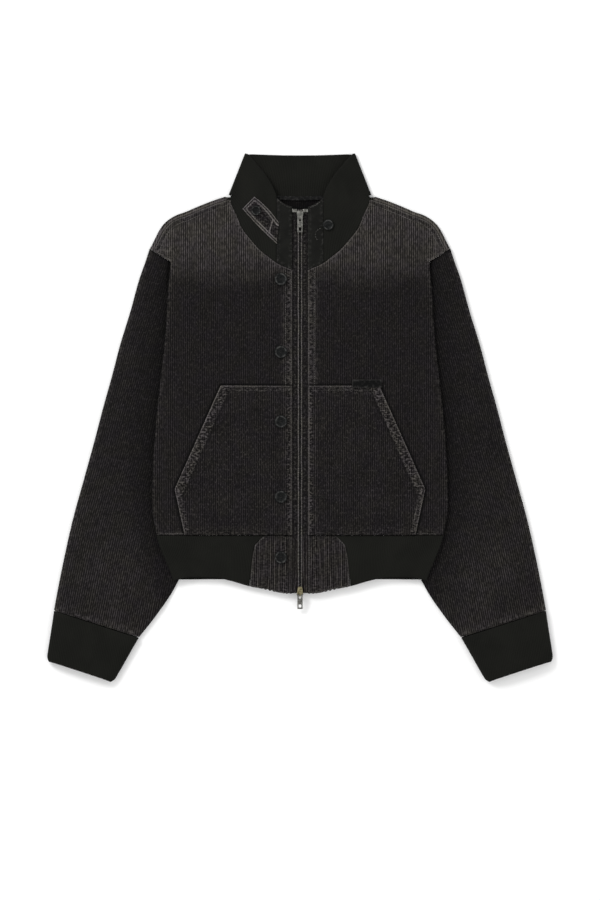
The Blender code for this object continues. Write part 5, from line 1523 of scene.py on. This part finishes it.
def knit_group() -> bpy.types.NodeTree:
    """Rib knit: rounded ribs along the cloth with small loops across them."""
    tree, n, given, out = group("rib_loops", {"Vector": (VECTOR, 0), "Pitch": (FLOAT, 0.0024)},
                                {"Rib": FLOAT, "Height": FLOAT})
    cut = n.add("ShaderNodeSeparateXYZ", None, {0: given.outputs[0]})
    turn = n.math("MULTIPLY", n.math("DIVIDE", cut.outputs[0], given.outputs[1]), 2 * math.pi)
    rib = n.math("MULTIPLY_ADD", n.math("SINE", turn), 0.5)
    rib.node.inputs[2].default_value = 0.5
    loops = n.math("SINE", n.math("MULTIPLY", cut.outputs[1], 5200.0))
    height = n.math("ADD", rib, n.math("MULTIPLY", loops, 0.22))
    for index, socket in enumerate((rib, height)):
        tree.links.new(socket, out.inputs[index])
    return tree


@dataclass
class Groups:
    """The shared effects, each built once."""

    stripe: bpy.types.NodeTree = field(default_factory=stripe_group)
    wear: bpy.types.NodeTree = field(default_factory=wear_group)
    knit: bpy.types.NodeTree = field(default_factory=knit_group)


def start_material(name: str, sockets: dict[str, object]) -> tuple[bpy.types.Material, Nodes, bpy.types.Node]:
    """New material with a Principled shader and constants on its sockets.

    Args:
        name: the material's name.
        sockets: values by socket name.

    Returns:
        The material, its node helper and the shader.
    """
    material = bpy.data.materials.new(name)
    material.use_nodes = True
    shader = material.node_tree.nodes["Principled BSDF"]
    for key, value in sockets.items():
        shader.inputs[key].default_value = value
    return material, Nodes(material.node_tree), shader


@dataclass(frozen=True)
class DenimFinish:
    """Washed striped denim: dark cloth, paler where it is washed out or worn, and darker with painted shade
    where its fade is below 0.
    """

    name: str
    dark: tuple[float, float, float] = (0.0036, 0.0034, 0.0035)
    line: tuple[float, float, float] = (0.0245, 0.0222, 0.0226)
    washed: tuple[float, float, float] = (0.0300, 0.0282, 0.0264)
    worn: tuple[float, float, float] = (0.1200, 0.1150, 0.1070)
    stripe: float = 0.95
    broken: float = 0.8
    pitch: float = 0.003
    reach: float = 9.0
    edge: float = 0.6
    marble: float = 0.4
    bump: float = 0.45

    def build(self, groups: Groups) -> bpy.types.Material:
        """Make the material: dark cloth, its stripes, wash, clouds, flecks, worn edges and painted shade."""
        material, n, shader = start_material(self.name, {
            "Roughness": 0.9, "Sheen Weight": 0.015, "Sheen Roughness": 0.5, "Specular IOR Level": 0.06})
        cloth = n.add("ShaderNodeUVMap", {"uv_map": "cloth"}).outputs[0]
        seam = n.add("ShaderNodeAttribute", {"attribute_name": "seam_mm"}).outputs["Fac"]
        fade = n.add("ShaderNodeAttribute", {"attribute_name": "fade"}).outputs["Fac"]
        pucker = n.add("ShaderNodeAttribute", {"attribute_name": "pucker"}).outputs["Fac"]
        twill = n.add("ShaderNodeGroup", {"node_tree": groups.stripe}, {
            0: cloth, 1: self.pitch, 2: self.broken})
        wear = n.add("ShaderNodeGroup", {"node_tree": groups.wear}, {0: cloth, 1: seam, 2: self.reach})
        cloud = n.ease(n.noise(cloth, 16.0, 4.0), 0.28, 0.74)
        wash = n.math("MULTIPLY", fade, n.math("ADD", n.math("MULTIPLY", cloud, 0.4), 0.78), True)
        base = n.mix(n.math("MULTIPLY", cloud, 0.5), (*self.dark, 1), (*[c * 1.8 for c in self.dark], 1))
        lined = n.mix(n.math("MULTIPLY", twill.outputs[0], self.stripe), base, (*self.line, 1))
        washed = n.mix(n.math("MULTIPLY", twill.outputs[0], 0.95), (*[c * 0.22 for c in self.washed], 1),
                       (*[c * 3.2 for c in self.washed], 1))
        body = n.mix(wash, lined, washed)
        flecked = n.mix(n.math("MULTIPLY", twill.outputs[1], 0.13), body, (*self.worn, 1))
        marbled = n.mix(n.math("MULTIPLY", wear.outputs[1], self.marble), flecked, (*self.worn, 1))
        edged = n.mix(n.math("MULTIPLY", wear.outputs[0], self.edge), marbled, (*self.worn, 1))
        knots = n.noise(cloth, 400.0, 2.0, (0.6, 1.0, 1.0))
        # the puckers' hollows are darkened below the cloth's own dark as painted shade; their crests are
        # paled as wear
        hollow_shade = n.math("MULTIPLY", n.ease(knots, 0.36, 0.5, 1.0, 0.0), pucker)
        crest = n.math("MULTIPLY", n.ease(knots, 0.5, 0.64), pucker)
        pressed = n.mix(n.math("MULTIPLY", hollow_shade, 0.8), edged, (*[c * 0.5 for c in self.dark], 1))
        edged = n.mix(n.math("MULTIPLY", crest, 0.36), pressed, (*self.worn, 1))
        patchy = n.ease(n.noise(cloth, 42.0, 2.0), 0.36, 0.64)
        tint = n.mix(patchy, (0.98, 0.92, 1.0, 1), (1.0, 0.96, 0.91, 1))
        tinted = n.mix(1.0, edged, tint, "MULTIPLY")
        # painted shade: where fade is below 0 the colour is mixed towards a darker copy of the cloth
        shade = n.ease(fade, -1.0, 0.0, 0.15, 1.0)
        shaded = n.mix(shade, (*[c * 0.55 for c in self.dark], 1), tinted)
        material.node_tree.links.new(shaded, shader.inputs["Base Color"])
        rough = n.ease(cloud, 0.0, 1.0, 0.86, 0.96)
        material.node_tree.links.new(rough, shader.inputs["Roughness"])
        relief = n.math("ADD", twill.outputs[2], n.math("MULTIPLY", crest, 2.5))
        bump = n.add("ShaderNodeBump", None, {
            "Strength": self.bump, "Distance": 0.0004, "Height": relief})
        material.node_tree.links.new(bump.outputs[0], shader.inputs["Normal"])
        return material


@dataclass(frozen=True)
class KnitFinish:
    """Black rib knit: matte, with faint ribs and a little lint."""

    name: str
    dark: tuple[float, float, float] = (0.0052, 0.0053, 0.0045)
    light: tuple[float, float, float] = (0.0115, 0.0117, 0.0099)
    pitch: float = 0.0024

    def build(self, groups: Groups) -> bpy.types.Material:
        """Make the material: ribs between two near blacks, lint, and a low relief."""
        material, n, shader = start_material(self.name, {
            "Roughness": 0.93, "Sheen Weight": 0.015, "Sheen Roughness": 0.5, "Specular IOR Level": 0.05})
        cloth = n.add("ShaderNodeUVMap", {"uv_map": "cloth"}).outputs[0]
        knit = n.add("ShaderNodeGroup", {"node_tree": groups.knit}, {0: cloth, 1: self.pitch})
        body = n.mix(n.math("MULTIPLY", knit.outputs[0], 0.7), (*self.dark, 1), (*self.light, 1))
        lint = n.ease(n.noise(cloth, 700.0, 1.0, (1.0, 0.3, 1.0)), 0.7, 0.82)
        linted = n.mix(n.math("MULTIPLY", lint, 0.12), body, (0.05, 0.05, 0.048, 1))
        cloud = n.ease(n.noise(cloth, 22.0, 3.0), 0.3, 0.7)
        toned = n.mix(n.math("MULTIPLY", cloud, 0.3), linted, (*[c * 1.35 for c in self.light], 1))
        material.node_tree.links.new(toned, shader.inputs["Base Color"])
        material.node_tree.links.new(n.ease(cloud, 0.0, 1.0, 0.9, 0.97), shader.inputs["Roughness"])
        bump = n.add("ShaderNodeBump", None, {
            "Strength": 0.4, "Distance": 0.0006, "Height": knit.outputs[1]})
        material.node_tree.links.new(bump.outputs[0], shader.inputs["Normal"])
        return material


@dataclass(frozen=True)
class PlainCloth:
    """Plain woven cloth for tapes, the collar's smooth pieces and the bare tag."""

    name: str
    color: tuple[float, float, float]
    worn: tuple[float, float, float] = (0.09, 0.086, 0.082)
    thread: float = 2200.0
    edge: float = 0.5

    def build(self, groups: Groups) -> bpy.types.Material:
        """Make the material: crossed threads, soft clouds and pale worked edges."""
        material, n, shader = start_material(self.name, {
            "Roughness": 0.85, "Sheen Weight": 0.01, "Specular IOR Level": 0.06})
        cloth = n.add("ShaderNodeUVMap", {"uv_map": "cloth"}).outputs[0]
        seam = n.add("ShaderNodeAttribute", {"attribute_name": "seam_mm"}).outputs["Fac"]
        wear = n.add("ShaderNodeGroup", {"node_tree": groups.wear}, {0: cloth, 1: seam, 2: 6.0})
        cut = n.add("ShaderNodeSeparateXYZ", None, {0: cloth})
        warp = n.math("SINE", n.math("MULTIPLY", cut.outputs[0], self.thread))
        weft = n.math("SINE", n.math("MULTIPLY", cut.outputs[1], self.thread))
        weave = n.math("MULTIPLY", warp, weft)
        cloud = n.ease(n.noise(cloth, 60.0, 3.0), 0.3, 0.7)
        body = n.mix(n.math("MULTIPLY", cloud, 0.6), (*[c * 0.75 for c in self.color], 1),
                     (*[c * 1.5 for c in self.color], 1))
        marbled = n.mix(n.math("MULTIPLY", wear.outputs[1], 0.25), body, (*self.worn, 1))
        edged = n.mix(n.math("MULTIPLY", wear.outputs[0], self.edge), marbled, (*self.worn, 1))
        material.node_tree.links.new(edged, shader.inputs["Base Color"])
        material.node_tree.links.new(n.ease(cloud, 0.0, 1.0, 0.8, 0.92), shader.inputs["Roughness"])
        bump = n.add("ShaderNodeBump", None, {"Strength": 0.3, "Distance": 0.0003, "Height": weave})
        material.node_tree.links.new(bump.outputs[0], shader.inputs["Normal"])
        return material


@dataclass(frozen=True)
class HardFinish:
    """Metal or resin with small scratches, clouded gloss and rubbed spots."""

    name: str
    color: tuple[float, float, float]
    rubbed: tuple[float, float, float]
    metallic: float
    rough: tuple[float, float]
    scale: float = 300.0
    gloss: float = 0.06

    def build(self) -> bpy.types.Material:
        """Make the material on Object coordinates: rubbed clouds, fine scratches and uneven gloss."""
        material, n, shader = start_material(self.name, {
            "Metallic": self.metallic, "Specular IOR Level": self.gloss})
        place = n.add("ShaderNodeTexCoord").outputs["Object"]
        cloud = n.ease(n.noise(place, self.scale, 3.0), 0.35, 0.68)
        scratch = n.ease(n.noise(place, self.scale * 4, 2.0, (1.0, 0.12, 1.0)), 0.5, 0.75)
        body = n.mix(cloud, (*self.color, 1), (*self.rubbed, 1))
        material.node_tree.links.new(body, shader.inputs["Base Color"])
        material.node_tree.links.new(n.ease(scratch, 0.0, 1.0, *self.rough), shader.inputs["Roughness"])
        bump = n.add("ShaderNodeBump", None, {"Strength": 0.15, "Distance": 0.0002, "Height": scratch})
        material.node_tree.links.new(bump.outputs[0], shader.inputs["Normal"])
        return material


@dataclass(frozen=True)
class ThreadFinish:
    """Sewing thread: grey, uneven and matte."""

    name: str
    dark: tuple[float, float, float] = (0.035, 0.033, 0.031)
    light: tuple[float, float, float] = (0.16, 0.152, 0.143)

    def build(self) -> bpy.types.Material:
        """Make the material: clouds between the two greys with a twisted relief."""
        material, n, shader = start_material(self.name, {"Roughness": 0.8, "Specular IOR Level": 0.08})
        place = n.add("ShaderNodeTexCoord").outputs["Object"]
        cloud = n.ease(n.noise(place, 55.0, 3.0), 0.34, 0.66)
        fibre = n.noise(place, 2500.0, 1.0)
        body = n.mix(n.math("MULTIPLY", cloud, n.math("ADD", fibre, 0.45), True), (*self.dark, 1),
                     (*self.light, 1))
        material.node_tree.links.new(body, shader.inputs["Base Color"])
        material.node_tree.links.new(n.ease(fibre, 0.3, 0.7, 0.72, 0.9), shader.inputs["Roughness"])
        bump = n.add("ShaderNodeBump", None, {"Strength": 0.3, "Distance": 0.0002, "Height": fibre})
        material.node_tree.links.new(bump.outputs[0], shader.inputs["Normal"])
        return material


# ---------------------------------------------------------------- stage and the whole jacket


@dataclass(frozen=True)
class Studio:
    """Pale floor, soft lights from the upper left, and a camera straight above."""

    camera_height: float = 3.2
    centre_y: float = -0.0462
    frame_height: float = 1.26

    def build(self) -> None:
        """Make the floor, the lights, the world and the camera."""
        scene = bpy.context.scene
        scene.view_settings.view_transform = "Standard"
        mesh = bpy.data.meshes.new("floor")
        reach = 6.0
        mesh.from_pydata([(-reach, -reach, 0), (reach, -reach, 0), (reach, reach, 0), (-reach, reach, 0)],
                         [], [(0, 1, 2, 3)])
        floor = bpy.data.objects.new("floor", mesh)
        scene.collection.objects.link(floor)
        material, n, shader = start_material("pale_floor", {"Roughness": 0.9})
        place = n.add("ShaderNodeTexCoord").outputs["Object"]
        grain = n.mix(n.noise(place, 6.0), (0.955, 0.955, 0.953, 1), (0.975, 0.975, 0.973, 1))
        material.node_tree.links.new(grain, shader.inputs["Base Color"])
        mesh.materials.append(material)
        world = bpy.data.worlds.new("studio")
        world.use_nodes = True
        world.node_tree.nodes["Background"].inputs[0].default_value = (1.0, 1.0, 1.0, 1.0)
        world.node_tree.nodes["Background"].inputs[1].default_value = 0.84
        scene.world = world
        for name, place_at, size, power in (
                ("key", (-1.5, 1.6, 1.9), 1.0, 40.0), ("fill", (1.7, -1.0, 2.2), 2.2, 9.0)):
            light = bpy.data.lights.new(name, "AREA")
            light.shape = "DISK"
            light.size = size
            light.energy = power
            lamp = bpy.data.objects.new(name, light)
            scene.collection.objects.link(lamp)
            lamp.location = place_at
            aim = np.array([0.0, self.centre_y, 0.0]) - np.array(place_at)
            lamp.rotation_euler = (math.atan2(math.hypot(aim[0], aim[1]), -aim[2]), 0.0,
                                   math.atan2(aim[1], aim[0]) - math.pi / 2)
        data = bpy.data.cameras.new("camera")
        data.sensor_fit = "AUTO"
        data.sensor_width = 36.0
        data.lens = 36.0 * self.camera_height / self.frame_height
        camera = bpy.data.objects.new("camera", data)
        scene.collection.objects.link(camera)
        camera.location = (0.0, self.centre_y, self.camera_height)
        scene.camera = camera


@dataclass
class Jacket:
    """Every piece of the jacket, in the order in which it is laid down."""

    groups: Groups = field(default_factory=Groups)
    thread: Stitching = field(default_factory=Stitching)
    dark_thread: Stitching = field(default_factory=Stitching)

    def cloth(self) -> None:
        """Make the body, sleeves, rib, hem and patches."""
        denim = DenimFinish("washed_striped_denim").build(self.groups)
        sleeve = DenimFinish("sleeve_denim", line=(0.02, 0.0185, 0.0188), marble=0.5,
                             broken=0.85).build(self.groups)
        hem = DenimFinish("gathered_denim", line=(0.034, 0.0315, 0.0305), broken=0.5, edge=0.95, marble=0.25,
                          reach=4.0).build(self.groups)
        pocket = DenimFinish("pocket_denim", worn=(0.17, 0.163, 0.152), edge=1.0, marble=0.1,
                             reach=5.0).build(self.groups)
        bound = DenimFinish("strap_denim", worn=(0.26, 0.25, 0.235), edge=1.0, marble=0.05,
                            reach=5.0).build(self.groups)
        rib = KnitFinish("black_rib_knit").build(self.groups)
        smooth = PlainCloth("smooth_placket", (0.0082, 0.0083, 0.0074), edge=0.1).build(self.groups)
        tape = DenimFinish("zip_facing", worn=(0.21, 0.205, 0.19), stripe=0.6, edge=1.0, marble=0.0,
                           pitch=0.0021).build(self.groups)
        band = PlainCloth("neck_tape_weave", (0.008, 0.008, 0.008), edge=0.0).build(self.groups)
        woven = PlainCloth("bare_woven_tag", (0.0038, 0.0038, 0.0038), edge=0.3).build(self.groups)
        panels, sleeves, ribs, patches = BodyPanels(), Sleeves(), RibPieces(), Patches()
        panels.back().build(denim, "denim", ["sleeve_top_left_cloth", "sleeve_top_right_cloth"])
        pairs = (
            (sleeves.under(), sleeve, "denim", []),
            (sleeves.top(), sleeve, "denim", ["sleeve_under_right_cloth"]),
            (sleeves.cuff_sheet(), rib, "rib_knit", []),
            (panels.front(), denim, "denim", ["back_cloth"]),
            (ribs.collar_front(), smooth, "plain_cloth", ["back_cloth"]),
            (ribs.hem_tab(), hem, "denim", ["hem_rib_cloth"]),
            (patches.pocket(), pocket, "denim", ["front_right_cloth"]),
            (patches.zip_tape(), tape, "tape_cloth", ["front_right_cloth"]),
        )
        for sheet, material, slot, rests in pairs:
            sheet.build(material, slot, rests)
            sheet.mirrored().build(material, slot, [name.replace("_right", "_left") for name in rests])
        ribs.collar().build(rib, "rib_knit", ["back_cloth"])
        ribs.hem_band().build(rib, "rib_knit", ["back_cloth"])
        patches.strap().build(bound, "denim", ["collar_cloth"])
        patches.label().build(woven, "woven_tag", ["pocket_right_cloth"])
        patches.neck_tape().build(band, "tape_cloth", ["back_cloth"])

    def hardware(self) -> None:
        """Make the buttons, the zip's teeth and all the thread, and dress the sliders and pulls."""
        resin = HardFinish("button_resin_gloss", (0.0035, 0.004, 0.004), (0.011, 0.0115, 0.0115), 0.0,
                           (0.42, 0.62)).build()
        # painted highlight: the buttons' raised rims get a paler colour in place of a glint
        worn = HardFinish("button_rim_worn", (0.006, 0.0065, 0.0065), (0.05, 0.05, 0.048), 0.0,
                          (0.4, 0.6)).build()
        teeth = HardFinish("dark_zip_teeth", (0.004, 0.004, 0.0045), (0.02, 0.02, 0.019), 1.0,
                           (0.4, 0.6)).build()
        steel = HardFinish("worn_nickel_pull", (0.11, 0.11, 0.1), (0.27, 0.265, 0.245), 1.0,
                           (0.22, 0.42)).build()
        brass = HardFinish("worn_brass_slider", (0.11, 0.095, 0.05), (0.3, 0.265, 0.16), 1.0,
                           (0.28, 0.5)).build()
        fastenings = Fastenings()
        for number in range(1, 6):
            fastenings.button(f"button_{number}", 9.0, resin, worn)
            fastenings.cross_threads(self.dark_thread, f"button_{number}")
        fastenings.button("button_collar", 7.8, resin, worn)
        fastenings.button("button_strap", 7.0, resin, worn)
        fastenings.teeth(teeth)
        fastenings.stops(steel)
        fastenings.buttonholes(self.dark_thread)
        seams = Seams()
        for side in Side:
            seams.front_rows(side, self.thread)
            seams.hem_rows(side, self.thread, RibPieces())
        seams.neck_rows(self.thread)
        self.thread.build("topstitching", ThreadFinish("grey_thread").build())
        self.dark_thread.build("buttonhole_thread", ThreadFinish(
            "dark_thread", (0.006, 0.006, 0.006), (0.03, 0.029, 0.028)).build())
        for node, material in (("slider_top", steel), ("pull_top", steel),
                               ("slider_bottom", brass), ("pull_bottom", steel)):
            metal = bpy.data.objects[node]
            for slot in metal.material_slots:
                slot.material = material


def main() -> None:
    """Load the frame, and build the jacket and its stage."""
    logging.basicConfig(level=logging.INFO, format="%(name)s %(message)s")
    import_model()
    Studio().build()
    jacket = Jacket()
    jacket.cloth()
    jacket.hardware()


if __name__ == "__main__":
    main()
